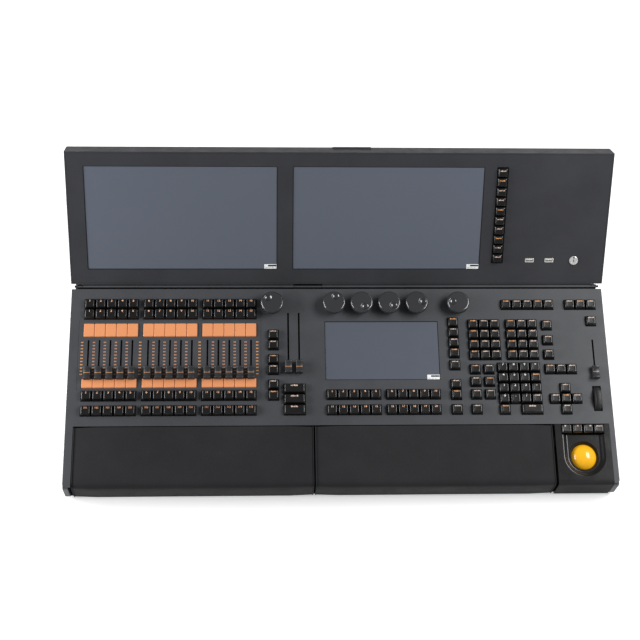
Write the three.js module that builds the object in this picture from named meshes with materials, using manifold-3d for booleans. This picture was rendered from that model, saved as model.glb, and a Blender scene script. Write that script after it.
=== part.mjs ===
// Lighting control desk: a sloping control panel with keys, faders and encoders, wrist
// rests, a trackball pod, and a screen housing hinged along the back edge of the panel.
// Units are millimetres. The finished group stands on Z = 0 with X across the desk and +Y to the rear.
//
// Panel frame: u runs right from the left edge, v runs down the slope from the back edge,
// n stands up from the panel face.
// Housing frame: u as above, w runs up the screen face from its lower edge, n stands out of the face.

import * as THREE from "three";
import { mergeVertices } from "three/addons/utils/BufferGeometryUtils.js";
import Module from "manifold-3d";

const wasm = await Module();
wasm.setup();

// ---------------------------------------------------------------- sizes

const DESK_WIDTH = 947;
const PANEL_TILT = THREE.MathUtils.degToRad(6);
const PANEL_THICKNESS = 3;
const PANEL_DEPTH = 251.2;
const FOOT_HEIGHT = 4;
const PANEL_BACK_Z = 92;
const FRONT_FACE_Y = -355.8;
const FRONT_SKIN = 3;
const REAR_FACE_Y = 248;
const CLEARANCE = 0.3;

const CHEEK_WIDTH = 8.5;
const LEFT_ARM_WIDTH = 13.3;
const RIGHT_ARM_WIDTH = 9;
const ARM_END_V = 356;
const ARM_CORNER = 4;
const THROUGH = [-20, 20];

const REST_START_V = 252;
const REST_FRONT_V = 358;
const REST_THICKNESS = 4;
const POD_THICKNESS = 9;
const LEFT_REST = [13.9, 424];
const CENTER_REST = [426.6, 838.2];
const POD = [842.2, 937.7];

const DECK_TOP_Z = 50;
const DECK_SHEET = 2;
const DECK_WALL_Y = 2;
const DECK_WALL_TOP_Z = 86.4;

const KEY_PITCH = 19.05;
const KEY_GAP = 0.9;
const KEY_HEIGHT = 7;
const KEY_SIDE_SLOPE = 1.7;
const KEY_BACK_SLOPE = 1.1;
const KEY_FRONT_SLOPE = 2.5;
const LAMP_KEY_SLOPE = 0.4;
const LAMP_KEY_HEIGHT = 1.8;
const CARRIER_TOP = -4.2;
const CARRIER_THICKNESS = 2;
const CUTOUT_MARGIN = 0.25;

const GROUP_LEFT = [23.95, 127.55, 230.95];
const GROUP_COLUMNS = 5;
const FADER_REST_V = 157.4;
const MASTER_REST_V = 159;
const FADER_TRAVEL = 60;
const CROSSFADER_REST_V = 147.4;
const CROSSFADER_TRAVEL = 100;
const CROSSFADER_U = [382, 400.9];
const MASTER_U = 922;
const SLOT_WIDTH = 3;
const SLOT_OVERRUN = 2;
const FADER_PANEL = { u0: 15.8, u1: 334.1, v0: 60, v1: 186.4 };

const KNOB_CENTRES_U = [353.9, 463.4, 512.4, 561.4, 610.4, 684.2];
const KNOB_V = 31;
const KNOB_RADIUS = 20.6;
const KNOB_HEIGHT = 19;
const KNOB_SEGMENTS = 28;
const DIMPLE = { offset: 10.2, radius: 8.5, depth: 3.2 };
const DIMPLE_ANGLES = [135, 75, -60, -45, 0, 180];
const SHAFT_RADIUS = 3;

const CENTER_SCREEN = { u0: 446.2, u1: 647.6, v0: 61.6, v1: 170.2 };

const WHEEL = { u: 921.7, v: 205.85, n: -13, radius: 24.6, width: 12.4 };
const WHEEL_SLOT = { u0: 914, u1: 929.4, v0: 183, v1: 228.7 };

const BALL = { u: 891, v: 308, n: -23.6, radius: 25.4 };
const DISH_DEPTH = 4.5;
const DISH_TOP_RADIUS = 36.5;
const DISH_FLOOR_RADIUS = 30.5;
const RING_OUTER_RADIUS = 26.5;
const RING_BORE_RADIUS = 23.6;
const RING_LIP_RADIUS = 21.95;
const RING_BOTTOM = -12.5;
const POD_KEYS = { u0: 853.6, v0: 252.4, pitch: 18.6, depth: 16.4 };

const HOUSING_ANGLE = THREE.MathUtils.degToRad(47.4);
const HOUSING_WIDTH = 949;
const HOUSING_HEIGHT = 239.8;
const HOUSING_DEPTH = 38;
const HOUSING_TOP_CORNER = 2;
const HOUSING_LOW_CORNER = 8;
const HOUSING_FOOT = { y: 7.6, z: 5.4 };
const SHELL_WALL = 2.5;
const GRIP_TAB = { u0: 459, u1: 526, rise: 1.5 };
const SCREEN_W = [27.2, 214.8];
const LEFT_SCREEN_U = [29.6, 363.1];
const RIGHT_SCREEN_U = [389.8, 723.3];
const SCREEN_KEYS = { u0: 745.2, w0: 39.6, width: 19, pitch: 17.45, count: 10 };
const USB_CENTRES_U = [812.9, 848];
const USB_W = 44.5;
const LOCK = { u: 892.4, w: 44.2, radius: 7.8 };

const HINGE_AXIS = { w: -6.06, n: -2.8 };
const ROD_RADIUS = 2;
const KNUCKLE_RADIUS = 3.8;
const BASE_KNUCKLES = [[9.4, 18.8], [393, 443], [928.6, 937.6]];
const HOUSING_KNUCKLES = [[19.4, 392.4], [443.6, 928]];

// ---------------------------------------------------------------- materials

function material(color, roughness, metalness) {
  return new THREE.MeshStandardMaterial({ color, roughness, metalness });
}

const PANEL_PAINT = material(0x4a4e54, 0.55, 0.2);
const HOUSING_PAINT = material(0x3f4043, 0.5, 0.2);
const REST_PLASTIC = material(0x313133, 0.75, 0);
const KEY_PLASTIC = material(0x141416, 0.45, 0);
const LAMP_PLASTIC = material(0xf0a05a, 0.4, 0);
const CAP_PLASTIC = material(0x2c2d30, 0.5, 0);
const KNOB_PLASTIC = material(0x3a3b3e, 0.35, 0);
const SCREEN_GLASS = material(0x565b66, 0.12, 0);
const BALL_PLASTIC = material(0xf2b41e, 0.15, 0);
const BLACK_PLASTIC = material(0x0d0d0e, 0.4, 0);
const BRIGHT_METAL = material(0xc8c8c8, 0.25, 1);
const RUBBER = material(0x111111, 0.9, 0);
const BOARD_GREEN = material(0x1d5a34, 0.6, 0.1);
const SHEET_STEEL = material(0x9a9da1, 0.4, 0.8);

// ---------------------------------------------------------------- solids

const group = new THREE.Group();
group.name = "lighting_control_desk";

const panelMatrix = new THREE.Matrix4()
  .makeRotationX(PANEL_TILT)
  .setPosition(-DESK_WIDTH / 2, 0, PANEL_BACK_Z);

const housingMatrix = new THREE.Matrix4()
  .makeRotationX(HOUSING_ANGLE)
  .setPosition(-DESK_WIDTH / 2, HOUSING_FOOT.y, PANEL_BACK_Z + HOUSING_FOOT.z);

const worldMatrix = new THREE.Matrix4().setPosition(-DESK_WIDTH / 2, 0, 0);

function toSolid(geometry) {
  geometry.deleteAttribute("normal");
  geometry.deleteAttribute("uv");
  const merged = mergeVertices(geometry, 1e-4);
  const mesh = new wasm.Mesh({
    numProp: 3,
    vertProperties: Float32Array.from(merged.attributes.position.array),
    triVerts: Uint32Array.from(merged.index.array),
  });
  return new wasm.Manifold(mesh);
}

function toGeometry(solid) {
  const mesh = solid.getMesh();
  const geometry = new THREE.BufferGeometry();
  geometry.setAttribute("position", new THREE.BufferAttribute(Float32Array.from(mesh.vertProperties), 3));
  geometry.setIndex(new THREE.BufferAttribute(Uint32Array.from(mesh.triVerts), 1));
  geometry.computeVertexNormals();
  return geometry;
}

function addPart(name, solid, matrix, surface) {
  const geometry = toGeometry(solid);
  geometry.applyMatrix4(matrix);
  const mesh = new THREE.Mesh(geometry, surface);
  mesh.name = name;
  group.add(mesh);
}

function join(solids) {
  return solids.reduce((total, next) => total.add(next));
}

// Box between two corners in x, y, z.
function box(x0, x1, y0, y1, z0, z1) {
  const geometry = new THREE.BoxGeometry(x1 - x0, y1 - y0, z1 - z0);
  geometry.translate((x0 + x1) / 2, (y0 + y1) / 2, (z0 + z1) / 2);
  return toSolid(geometry);
}

// Box in the panel frame: v grows toward the user, so y is its negative.
function panelBox(u0, u1, v0, v1, n0, n1) {
  return box(u0, u1, -v1, -v0, n0, n1);
}

// Solid through convex outlines stacked along z, each with the same number of points.
function loft(outlines, heights) {
  const count = outlines[0].length;
  const positions = [];
  const index = [];
  outlines.forEach((outline, level) => {
    outline.forEach(([x, y]) => positions.push(x, y, heights[level]));
  });
  const last = (outlines.length - 1) * count;
  for (let i = 1; i < count - 1; i += 1) {
    index.push(0, i + 1, i);
    index.push(last, last + i, last + i + 1);
  }
  for (let level = 0; level < outlines.length - 1; level += 1) {
    for (let i = 0; i < count; i += 1) {
      const a = level * count + i;
      const b = level * count + ((i + 1) % count);
      index.push(a, b, b + count);
      index.push(a, b + count, a + count);
    }
  }
  const geometry = new THREE.BufferGeometry();
  geometry.setAttribute("position", new THREE.Float32BufferAttribute(positions, 3));
  geometry.setIndex(index);
  return toSolid(geometry);
}

// Solid with a side outline of (y, z) points, running from x0 to x1.
function extrudeProfile(points, x0, x1) {
  const shape = new THREE.Shape(points.map(([y, z]) => new THREE.Vector2(y, z)));
  const geometry = new THREE.ExtrudeGeometry(shape, { depth: x1 - x0, bevelEnabled: false });
  geometry.applyMatrix4(new THREE.Matrix4().makeBasis(
    new THREE.Vector3(0, 1, 0),
    new THREE.Vector3(0, 0, 1),
    new THREE.Vector3(1, 0, 0),
  ));
  geometry.translate(x0, 0, 0);
  return toSolid(geometry);
}

// Cylinder lying along x.
function rodAlongX(x0, x1, y, z, radius, segments) {
  const geometry = new THREE.CylinderGeometry(radius, radius, x1 - x0, segments);
  geometry.rotateZ(Math.PI / 2);
  geometry.translate((x0 + x1) / 2, y, z);
  return toSolid(geometry);
}

// Cylinder standing along z.
function post(x, y, z0, z1, radius, segments) {
  const geometry = new THREE.CylinderGeometry(radius, radius, z1 - z0, segments);
  geometry.rotateX(Math.PI / 2);
  geometry.translate(x, y, (z0 + z1) / 2);
  return toSolid(geometry);
}

// Body of revolution about z; the profile starts and ends on the axis or closes on itself.
function turned(x, y, profile, segments) {
  const points = profile.map(([r, z]) => new THREE.Vector2(r, z));
  const geometry = new THREE.LatheGeometry(points, segments);
  geometry.rotateX(Math.PI / 2);
  geometry.translate(x, y, 0);
  return toSolid(geometry);
}

function rectangle(u0, u1, v0, v1) {
  return [[u0, -v1], [u1, -v1], [u1, -v0], [u0, -v0]];
}

// World (y, z) of a panel-frame point.
function panelPoint(v, n) {
  const y = -v * Math.cos(PANEL_TILT) - n * Math.sin(PANEL_TILT);
  const z = PANEL_BACK_Z - v * Math.sin(PANEL_TILT) + n * Math.cos(PANEL_TILT);
  return [y, z];
}

// ---------------------------------------------------------------- keys

// A block of keys: left edge, back edge, columns, rows, and the size of one key in pitches.
function keyBlock(u0, v0, columns, rows, wide = 1) {
  return {
    u0,
    v0,
    columns,
    rows,
    stepU: KEY_PITCH * wide,
    stepV: KEY_PITCH,
    height: KEY_HEIGHT,
    slopes: [KEY_SIDE_SLOPE, KEY_BACK_SLOPE, KEY_FRONT_SLOPE],
  };
}

function lampBlock(u0, v0, depth) {
  const block = keyBlock(u0, v0, GROUP_COLUMNS, 1);
  block.stepV = depth;
  block.height = LAMP_KEY_HEIGHT;
  block.slopes = [LAMP_KEY_SLOPE, LAMP_KEY_SLOPE, LAMP_KEY_SLOPE];
  return block;
}

function keyCap(u0, u1, v0, v1, height, [side, back, front]) {
  const skirt = rectangle(u0, u1, v0, v1);
  const top = rectangle(u0 + side, u1 - side, v0 + back, v1 - front);
  return loft([skirt, skirt, top], [CARRIER_TOP - CARRIER_THICKNESS / 2, 0.6, height]);
}

function blockEnd(block) {
  return {
    u1: block.u0 + block.columns * block.stepU,
    v1: block.v0 + block.rows * block.stepV,
  };
}

function blockCaps(block) {
  const half = KEY_GAP / 2;
  const caps = [];
  for (let row = 0; row < block.rows; row += 1) {
    for (let column = 0; column < block.columns; column += 1) {
      const u0 = block.u0 + column * block.stepU;
      const v0 = block.v0 + row * block.stepV;
      const u1 = u0 + block.stepU;
      const v1 = v0 + block.stepV;
      caps.push(keyCap(u0 + half, u1 - half, v0 + half, v1 - half, block.height, block.slopes));
    }
  }
  return caps;
}

function blockCutout(block) {
  const { u1, v1 } = blockEnd(block);
  const m = CUTOUT_MARGIN;
  return panelBox(block.u0 - m, u1 + m, block.v0 - m, v1 + m, ...THROUGH);
}

// Thin plate under the panel joining keys that are pressed together.
function carrier(u0, u1, v0, v1) {
  return panelBox(u0, u1, v0, v1, CARRIER_TOP - CARRIER_THICKNESS, CARRIER_TOP);
}

function bank(blocks, links) {
  const solids = blocks.flatMap(blockCaps);
  blocks.forEach((block) => {
    const { u1, v1 } = blockEnd(block);
    solids.push(carrier(block.u0 + 1, u1 - 1, block.v0 + 1, v1 - 1));
  });
  links.forEach(([u0, u1, v0, v1]) => solids.push(carrier(u0, u1, v0, v1)));
  return join(solids);
}

const GROUPS_RIGHT = GROUP_LEFT[2] + GROUP_COLUMNS * KEY_PITCH;

const BANKS = [
  {
    name: "executor_keys_upper",
    blocks: GROUP_LEFT.map((u0) => keyBlock(u0, 19.3, GROUP_COLUMNS, 2)),
    links: [[GROUP_LEFT[0] + 2, GROUPS_RIGHT - 2, 30, 46]],
    surface: KEY_PLASTIC,
  },
  {
    name: "executor_lamps_upper",
    blocks: GROUP_LEFT.map((u0) => lampBlock(u0, 64.7, 25)),
    links: [[GROUP_LEFT[0] + 2, GROUPS_RIGHT - 2, 68, 86]],
    surface: LAMP_PLASTIC,
  },
  {
    name: "executor_lamps_lower",
    blocks: GROUP_LEFT.map((u0) => lampBlock(u0, 166.2, 16.9)),
    links: [[GROUP_LEFT[0] + 2, GROUPS_RIGHT - 2, 169, 181]],
    surface: LAMP_PLASTIC,
  },
  {
    name: "executor_keys_lower",
    blocks: GROUP_LEFT.flatMap((u0) => [
      keyBlock(u0, 187.9, GROUP_COLUMNS, 1),
      keyBlock(u0, 214.6, GROUP_COLUMNS, 1),
    ]),
    links: [[GROUP_LEFT[0] + 2, GROUPS_RIGHT - 2, 200, 220]],
    surface: KEY_PLASTIC,
  },
  {
    name: "playback_keys",
    blocks: [
      keyBlock(346.2, 77.2, 1, 2),
      keyBlock(346.2, 122.6, 1, 2),
      keyBlock(346.2, 168.9, 1, 2),
      keyBlock(373, 176.5, 1, 3, 2),
    ],
    links: [[349, 362, 80, 204], [350, 400, 182, 200]],
    surface: KEY_PLASTIC,
  },
  {
    name: "macro_keys",
    blocks: [447.45, 551.35].flatMap((u0) => [
      keyBlock(u0, 187.3, GROUP_COLUMNS, 1),
      keyBlock(u0, 214.8, GROUP_COLUMNS, 1),
    ]),
    links: [[450, 644, 200, 220]],
    surface: KEY_PLASTIC,
  },
  {
    name: "view_keys",
    blocks: [
      keyBlock(664.6, 55.1, 1, 4),
      keyBlock(664.6, 134.4, 1, 1),
      keyBlock(664.6, 169.4, 1, 2),
      keyBlock(664.6, 214.9, 1, 1),
    ],
    links: [[667, 681, 58, 230]],
    surface: KEY_PLASTIC,
  },
  {
    name: "command_keys",
    blocks: [
      keyBlock(700.35, 58.7, 3, 4),
      keyBlock(767.45, 58.7, 3, 4),
      keyBlock(832.2, 60.6, 1, 1),
      keyBlock(832.2, 88.6, 1, 1),
      keyBlock(832.2, 115.4, 1, 1),
    ],
    links: [[704, 822, 62, 131], [800, 848, 64, 130]],
    surface: KEY_PLASTIC,
  },
  {
    name: "number_keys",
    blocks: [
      keyBlock(748.35, 139.4, 4, 4),
      keyBlock(748.35, 215.6, 1, 1),
      keyBlock(786.45, 215.6, 1, 1, 2),
      keyBlock(699.9, 142.2, 1, 1),
      keyBlock(724.2, 142.2, 1, 1),
      keyBlock(699.9, 165, 1, 1),
      keyBlock(724.2, 165, 1, 1),
      keyBlock(699.9, 187.9, 1, 1),
      keyBlock(724.2, 187.9, 1, 1),
      keyBlock(699.4, 214.8, 1, 1),
      keyBlock(832.4, 142.4, 3, 1),
    ],
    links: [[703, 820, 145, 204], [703, 820, 200, 232], [815, 886, 146, 158]],
    surface: KEY_PLASTIC,
  },
  {
    name: "arrow_keys",
    blocks: [
      keyBlock(856.45, 177.5, 1, 1),
      keyBlock(837.4, 196.55, 3, 1),
      keyBlock(856.45, 215.6, 1, 1),
    ],
    links: [[860, 872, 180, 230]],
    surface: KEY_PLASTIC,
  },
  {
    name: "top_row_keys",
    blocks: [
      keyBlock(761.75, 21.5, 5, 1),
      keyBlock(876.35, 21.5, 3, 1),
      keyBlock(912.6, 52.8, 1, 1),
    ],
    links: [[764, 930, 26, 36], [916, 928, 30, 68]],
    surface: KEY_PLASTIC,
  },
];

BANKS.forEach(({ name, blocks, links, surface }) => {
  addPart(name, bank(blocks, links), panelMatrix, surface);
});

// ---------------------------------------------------------------- control panel and fader panel

const faderU = GROUP_LEFT.flatMap((left) => (
  Array.from({ length: GROUP_COLUMNS }, (_, i) => left + (i + 0.5) * KEY_PITCH)
));

function slotCutout(u, restV, travel) {
  const half = SLOT_WIDTH / 2;
  return panelBox(u - half, u + half, restV - travel - SLOT_OVERRUN, restV + SLOT_OVERRUN, ...THROUGH);
}

const inFaderPanel = (block) => block.u0 < FADER_PANEL.u1
  && block.v0 > FADER_PANEL.v0
  && block.v0 < FADER_PANEL.v1
  && block.height === LAMP_KEY_HEIGHT;

const allBlocks = BANKS.flatMap(({ blocks }) => blocks);

// Arm of the panel beside the rests, with its outer front corner cut off.
function panelArm(inner, outer) {
  const cut = Math.sign(inner - outer) * ARM_CORNER;
  const outline = [
    [inner, 1 - PANEL_DEPTH],
    [outer, 1 - PANEL_DEPTH],
    [outer, ARM_CORNER - ARM_END_V],
    [outer + cut, -ARM_END_V],
    [inner, -ARM_END_V],
  ];
  if (outer > inner) {
    outline.reverse();
  }
  return loft([outline, outline], [-PANEL_THICKNESS, 0]);
}

const panelPlate = join([
  panelBox(0, DESK_WIDTH, 0, PANEL_DEPTH, -PANEL_THICKNESS, 0),
  panelArm(LEFT_ARM_WIDTH, 0),
  panelArm(DESK_WIDTH - RIGHT_ARM_WIDTH, DESK_WIDTH),
]);

function windowCutout({ u0, u1, v0, v1 }) {
  return panelBox(u0, u1, v0, v1, ...THROUGH);
}

const panelHoles = allBlocks.filter((block) => !inFaderPanel(block)).map(blockCutout);
panelHoles.push(...[FADER_PANEL, CENTER_SCREEN, WHEEL_SLOT].map(windowCutout));
KNOB_CENTRES_U.forEach((u) => panelHoles.push(post(u, -KNOB_V, ...THROUGH, SHAFT_RADIUS + 0.5, 16)));

CROSSFADER_U.forEach((u) => panelHoles.push(slotCutout(u, CROSSFADER_REST_V, CROSSFADER_TRAVEL)));
panelHoles.push(slotCutout(MASTER_U, MASTER_REST_V, FADER_TRAVEL));

addPart("control_panel", panelPlate.subtract(join(panelHoles)), panelMatrix, PANEL_PAINT);

const faderHoles = faderU.map((u) => slotCutout(u, FADER_REST_V, FADER_TRAVEL));
faderHoles.push(...allBlocks.filter(inFaderPanel).map(blockCutout));
const faderPlate = panelBox(
  FADER_PANEL.u0 + CLEARANCE,
  FADER_PANEL.u1 - CLEARANCE,
  FADER_PANEL.v0 + CLEARANCE,
  FADER_PANEL.v1 - CLEARANCE,
  -PANEL_THICKNESS,
  0,
);
addPart("fader_panel", faderPlate.subtract(join(faderHoles)), panelMatrix, PANEL_PAINT);

// ---------------------------------------------------------------- faders

const CAP_LENGTH = 22.6;
const CAP_WIDTH = 12.6;
const CAP_LIFT = 2.3;
const CAP_TOP = 12;
const CAP_DIP = 8.4;
const STEM = { width: 1.6, length: 3.4, bottom: -7 };

function faderCap(u, v) {
  const half = CAP_LENGTH / 2;
  const profile = [
    [-half, CAP_LIFT],
    [half, CAP_LIFT],
    [half - 1.2, CAP_TOP],
    [half - 3, CAP_TOP],
    [0.8, CAP_DIP],
    [-0.8, CAP_DIP],
    [-half + 3, CAP_TOP],
    [-half + 1.2, CAP_TOP],
  ];
  const placed = profile.map(([y, z]) => [y - v, z]);
  const cap = extrudeProfile(placed, u - CAP_WIDTH / 2, u + CAP_WIDTH / 2);
  const stem = panelBox(
    u - STEM.width / 2,
    u + STEM.width / 2,
    v - STEM.length / 2,
    v + STEM.length / 2,
    STEM.bottom,
    CAP_LIFT + 1,
  );
  return cap.add(stem);
}

faderU.forEach((u, i) => {
  const number = String(i + 1).padStart(2, "0");
  addPart(`executor_fader_${number}`, faderCap(u, FADER_REST_V), panelMatrix, CAP_PLASTIC);
});
addPart("crossfader_a", faderCap(CROSSFADER_U[0], CROSSFADER_REST_V), panelMatrix, CAP_PLASTIC);
addPart("crossfader_b", faderCap(CROSSFADER_U[1], CROSSFADER_REST_V), panelMatrix, CAP_PLASTIC);
addPart("master_fader", faderCap(MASTER_U, MASTER_REST_V), panelMatrix, CAP_PLASTIC);

// ---------------------------------------------------------------- encoders, thumb wheel, trackball

const KNOB_PROFILE = [
  [0, KNOB_HEIGHT],
  [KNOB_RADIUS - 6, KNOB_HEIGHT],
  [KNOB_RADIUS - 2.2, KNOB_HEIGHT - 1.2],
  [KNOB_RADIUS - 0.4, KNOB_HEIGHT - 3.2],
  [KNOB_RADIUS, KNOB_HEIGHT - 5.6],
  [KNOB_RADIUS - 4.2, 0.6],
  [SHAFT_RADIUS, 0.6],
  [SHAFT_RADIUS, -9],
  [0, -9],
].reverse();

KNOB_CENTRES_U.forEach((u, i) => {
  const angle = THREE.MathUtils.degToRad(DIMPLE_ANGLES[i]);
  const dimple = new THREE.SphereGeometry(DIMPLE.radius, 16, 10);
  dimple.translate(
    u + DIMPLE.offset * Math.cos(angle),
    -KNOB_V + DIMPLE.offset * Math.sin(angle),
    KNOB_HEIGHT + DIMPLE.radius - DIMPLE.depth,
  );
  const knob = turned(u, -KNOB_V, KNOB_PROFILE, KNOB_SEGMENTS).subtract(toSolid(dimple));
  addPart(`encoder_${i + 1}`, knob, panelMatrix, KNOB_PLASTIC);
});

const AXLE_END = 2.4;

function wheelRod(halfLength, radius, segments) {
  return rodAlongX(WHEEL.u - halfLength, WHEEL.u + halfLength, -WHEEL.v, WHEEL.n, radius, segments);
}

const wheel = join([
  wheelRod(WHEEL.width / 2, WHEEL.radius, 48),
  wheelRod(WHEEL.width / 2 + AXLE_END, SHAFT_RADIUS, 16),
]);
addPart("thumb_wheel", wheel, panelMatrix, BLACK_PLASTIC);

const ballGeometry = new THREE.SphereGeometry(BALL.radius, 24, 16);
ballGeometry.translate(BALL.u, -BALL.v, BALL.n);
addPart("trackball", toSolid(ballGeometry), panelMatrix, BALL_PLASTIC);

const RING_PROFILE = [
  [RING_BORE_RADIUS, RING_BOTTOM],
  [RING_OUTER_RADIUS, RING_BOTTOM],
  [RING_OUTER_RADIUS, -DISH_DEPTH + 0.4],
  [RING_OUTER_RADIUS - 1.4, -DISH_DEPTH + 0.6],
  [RING_LIP_RADIUS, -9.6],
  [RING_LIP_RADIUS, -10.2],
  [RING_BORE_RADIUS, -12],
  [RING_BORE_RADIUS, RING_BOTTOM],
];
addPart("trackball_ring", turned(BALL.u, -BALL.v, RING_PROFILE, 40), panelMatrix, BLACK_PLASTIC);

// ---------------------------------------------------------------- wrist rests and trackball pod

// Side outline of a rest: sloping top, rounded front edge and a front face reaching the base.
function restProfile(thickness) {
  const [, topEdgeZ] = panelPoint(REST_FRONT_V, 0);
  const inner = FRONT_FACE_Y + FRONT_SKIN;
  const [, innerTopZ] = panelPoint(REST_FRONT_V - FRONT_SKIN, -thickness);
  return [
    panelPoint(REST_START_V, 0),
    panelPoint(REST_START_V, -thickness),
    [inner, innerTopZ],
    [inner, FOOT_HEIGHT + 0.5],
    [FRONT_FACE_Y, FOOT_HEIGHT + 0.5],
    [FRONT_FACE_Y, topEdgeZ - 7],
    [FRONT_FACE_Y + 0.5, topEdgeZ - 4],
    [FRONT_FACE_Y + 1.9, topEdgeZ - 1.6],
    [FRONT_FACE_Y + 4.2, topEdgeZ + 0.1],
    panelPoint(350, 0),
  ];
}

[["left_wrist_rest", LEFT_REST], ["center_wrist_rest", CENTER_REST]].forEach(([name, [u0, u1]]) => {
  addPart(name, extrudeProfile(restProfile(REST_THICKNESS), u0, u1), worldMatrix, REST_PLASTIC);
});

// U-shaped outline open toward the key row, centred on the ball.
function dishOutline(radius, backV) {
  const steps = 16;
  const points = [[BALL.u + radius, -backV], [BALL.u - radius, -backV]];
  for (let i = 0; i <= steps; i += 1) {
    const angle = Math.PI + (Math.PI * i) / steps;
    points.push([BALL.u + radius * Math.cos(angle), -BALL.v + radius * Math.sin(angle)]);
  }
  return points;
}

const dishBackV = POD_KEYS.v0 + 10;
const dishGrow = (DISH_TOP_RADIUS - DISH_FLOOR_RADIUS) / DISH_DEPTH;
const dish = loft(
  [dishOutline(DISH_FLOOR_RADIUS, dishBackV), dishOutline(DISH_TOP_RADIUS + dishGrow, dishBackV)],
  [-DISH_DEPTH, 1],
);
// The row of small keys in the back of the pod.
const podKeyBlock = {
  u0: POD_KEYS.u0,
  v0: POD_KEYS.v0,
  columns: 4,
  rows: 1,
  stepU: POD_KEYS.pitch,
  stepV: POD_KEYS.depth,
  height: KEY_HEIGHT - 2,
  slopes: [1.7, 0.9, 1.8],
};
const podSlot = panelBox(
  POD_KEYS.u0 - 0.4,
  POD_KEYS.u0 + 4 * POD_KEYS.pitch + 0.4,
  REST_START_V - 1,
  POD_KEYS.v0 + POD_KEYS.depth + 1.6,
  ...THROUGH,
);
const podBase = extrudeProfile(restProfile(POD_THICKNESS), ...POD);
const podWell = join([
  dish,
  podSlot,
  post(BALL.u, -BALL.v, ...THROUGH, RING_OUTER_RADIUS + CLEARANCE, 40),
]).transform([
  1, 0, 0, 0,
  0, Math.cos(PANEL_TILT), Math.sin(PANEL_TILT), 0,
  0, -Math.sin(PANEL_TILT), Math.cos(PANEL_TILT), 0,
  0, 0, PANEL_BACK_Z, 1,
]);
addPart("trackball_pod", podBase.subtract(podWell), worldMatrix, REST_PLASTIC);

const podCaps = blockCaps(podKeyBlock);
const podKeyEnd = blockEnd(podKeyBlock);
podCaps.push(carrier(POD_KEYS.u0 + 1, podKeyEnd.u1 - 1, POD_KEYS.v0 + 2, podKeyEnd.v1 - 1.4));
addPart("trackball_keys", join(podCaps), panelMatrix, KEY_PLASTIC);

// ---------------------------------------------------------------- base

const CHEEK_TOP_N = -PANEL_THICKNESS - CLEARANCE;
const cheekProfile = [
  panelPoint(0, CHEEK_TOP_N),
  panelPoint(350, CHEEK_TOP_N),
  [FRONT_FACE_Y + 1.2, panelPoint(356, CHEEK_TOP_N)[1] - 2],
  [FRONT_FACE_Y, panelPoint(356, CHEEK_TOP_N)[1] - 6],
  [FRONT_FACE_Y, FOOT_HEIGHT + 6],
  [FRONT_FACE_Y + 5, FOOT_HEIGHT],
  [REAR_FACE_Y, FOOT_HEIGHT],
  [REAR_FACE_Y, DECK_TOP_Z],
  [DECK_WALL_Y + 6, DECK_TOP_Z],
  [panelPoint(0, CHEEK_TOP_N)[0], DECK_TOP_Z + 14],
];
const FLOOR_SHEET = 2;
const floorPlate = box(
  0,
  DESK_WIDTH,
  FRONT_FACE_Y + FRONT_SKIN + CLEARANCE,
  REAR_FACE_Y,
  FOOT_HEIGHT,
  FOOT_HEIGHT + FLOOR_SHEET,
);
const baseTray = join([
  floorPlate,
  extrudeProfile(cheekProfile, 0, CHEEK_WIDTH),
  extrudeProfile(cheekProfile, DESK_WIDTH - CHEEK_WIDTH, DESK_WIDTH),
]);
addPart("base_tray", baseTray, worldMatrix, PANEL_PAINT);

// Hinge axis in world (y, z).
const hingeY = HOUSING_FOOT.y
  + HINGE_AXIS.w * Math.cos(HOUSING_ANGLE)
  - HINGE_AXIS.n * Math.sin(HOUSING_ANGLE);
const hingeZ = PANEL_BACK_Z + HOUSING_FOOT.z
  + HINGE_AXIS.w * Math.sin(HOUSING_ANGLE)
  + HINGE_AXIS.n * Math.cos(HOUSING_ANGLE);
const BORE_RADIUS = ROD_RADIUS + CLEARANCE;
const DECK_INNER = [CHEEK_WIDTH + CLEARANCE, DESK_WIDTH - CHEEK_WIDTH - CLEARANCE];

const deckParts = [
  box(...DECK_INNER, DECK_WALL_Y, DECK_WALL_Y + DECK_SHEET, DECK_TOP_Z - DECK_SHEET, DECK_WALL_TOP_Z),
  box(...DECK_INNER, DECK_WALL_Y, REAR_FACE_Y - 9, DECK_TOP_Z - DECK_SHEET, DECK_TOP_Z),
];
BASE_KNUCKLES.forEach(([u0, u1]) => {
  deckParts.push(rodAlongX(u0, u1, hingeY, hingeZ, KNUCKLE_RADIUS, 24));
  deckParts.push(box(u0, u1, DECK_WALL_Y, hingeY + 2, DECK_WALL_TOP_Z - 6, hingeZ));
});
const rodBore = rodAlongX(-1, DESK_WIDTH + 1, hingeY, hingeZ, BORE_RADIUS, 24);
addPart("rear_deck", join(deckParts).subtract(rodBore), worldMatrix, PANEL_PAINT);

addPart("hinge_rod", rodAlongX(4.8, 942.2, hingeY, hingeZ, ROD_RADIUS, 24), worldMatrix, SHEET_STEEL);

// Rear plate with blind sockets: mains inlet, network, lighting outputs and data ports.
const SOCKET_DEPTH = 7;
const REAR_PLATE = { y0: REAR_FACE_Y - 8.6, y1: REAR_FACE_Y, z0: FOOT_HEIGHT + 2.4, z1: DECK_TOP_Z };
const REAR_SOCKET_Z = 27;
const INLET = { u: 860, width: 28, height: 21 };
const NETWORK_U = [700, 724];
const NETWORK_SIZE = 14;
const OUTPUT_U = [440, 480, 520, 560];
const OUTPUT_RADIUS = 11;
const DATA_U = [220, 246];
const DATA_SIZE = [13, 6];

function rearPocket(u, width, height) {
  return box(
    u - width / 2,
    u + width / 2,
    REAR_FACE_Y - SOCKET_DEPTH,
    REAR_FACE_Y + 1,
    REAR_SOCKET_Z - height / 2,
    REAR_SOCKET_Z + height / 2,
  );
}

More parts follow.
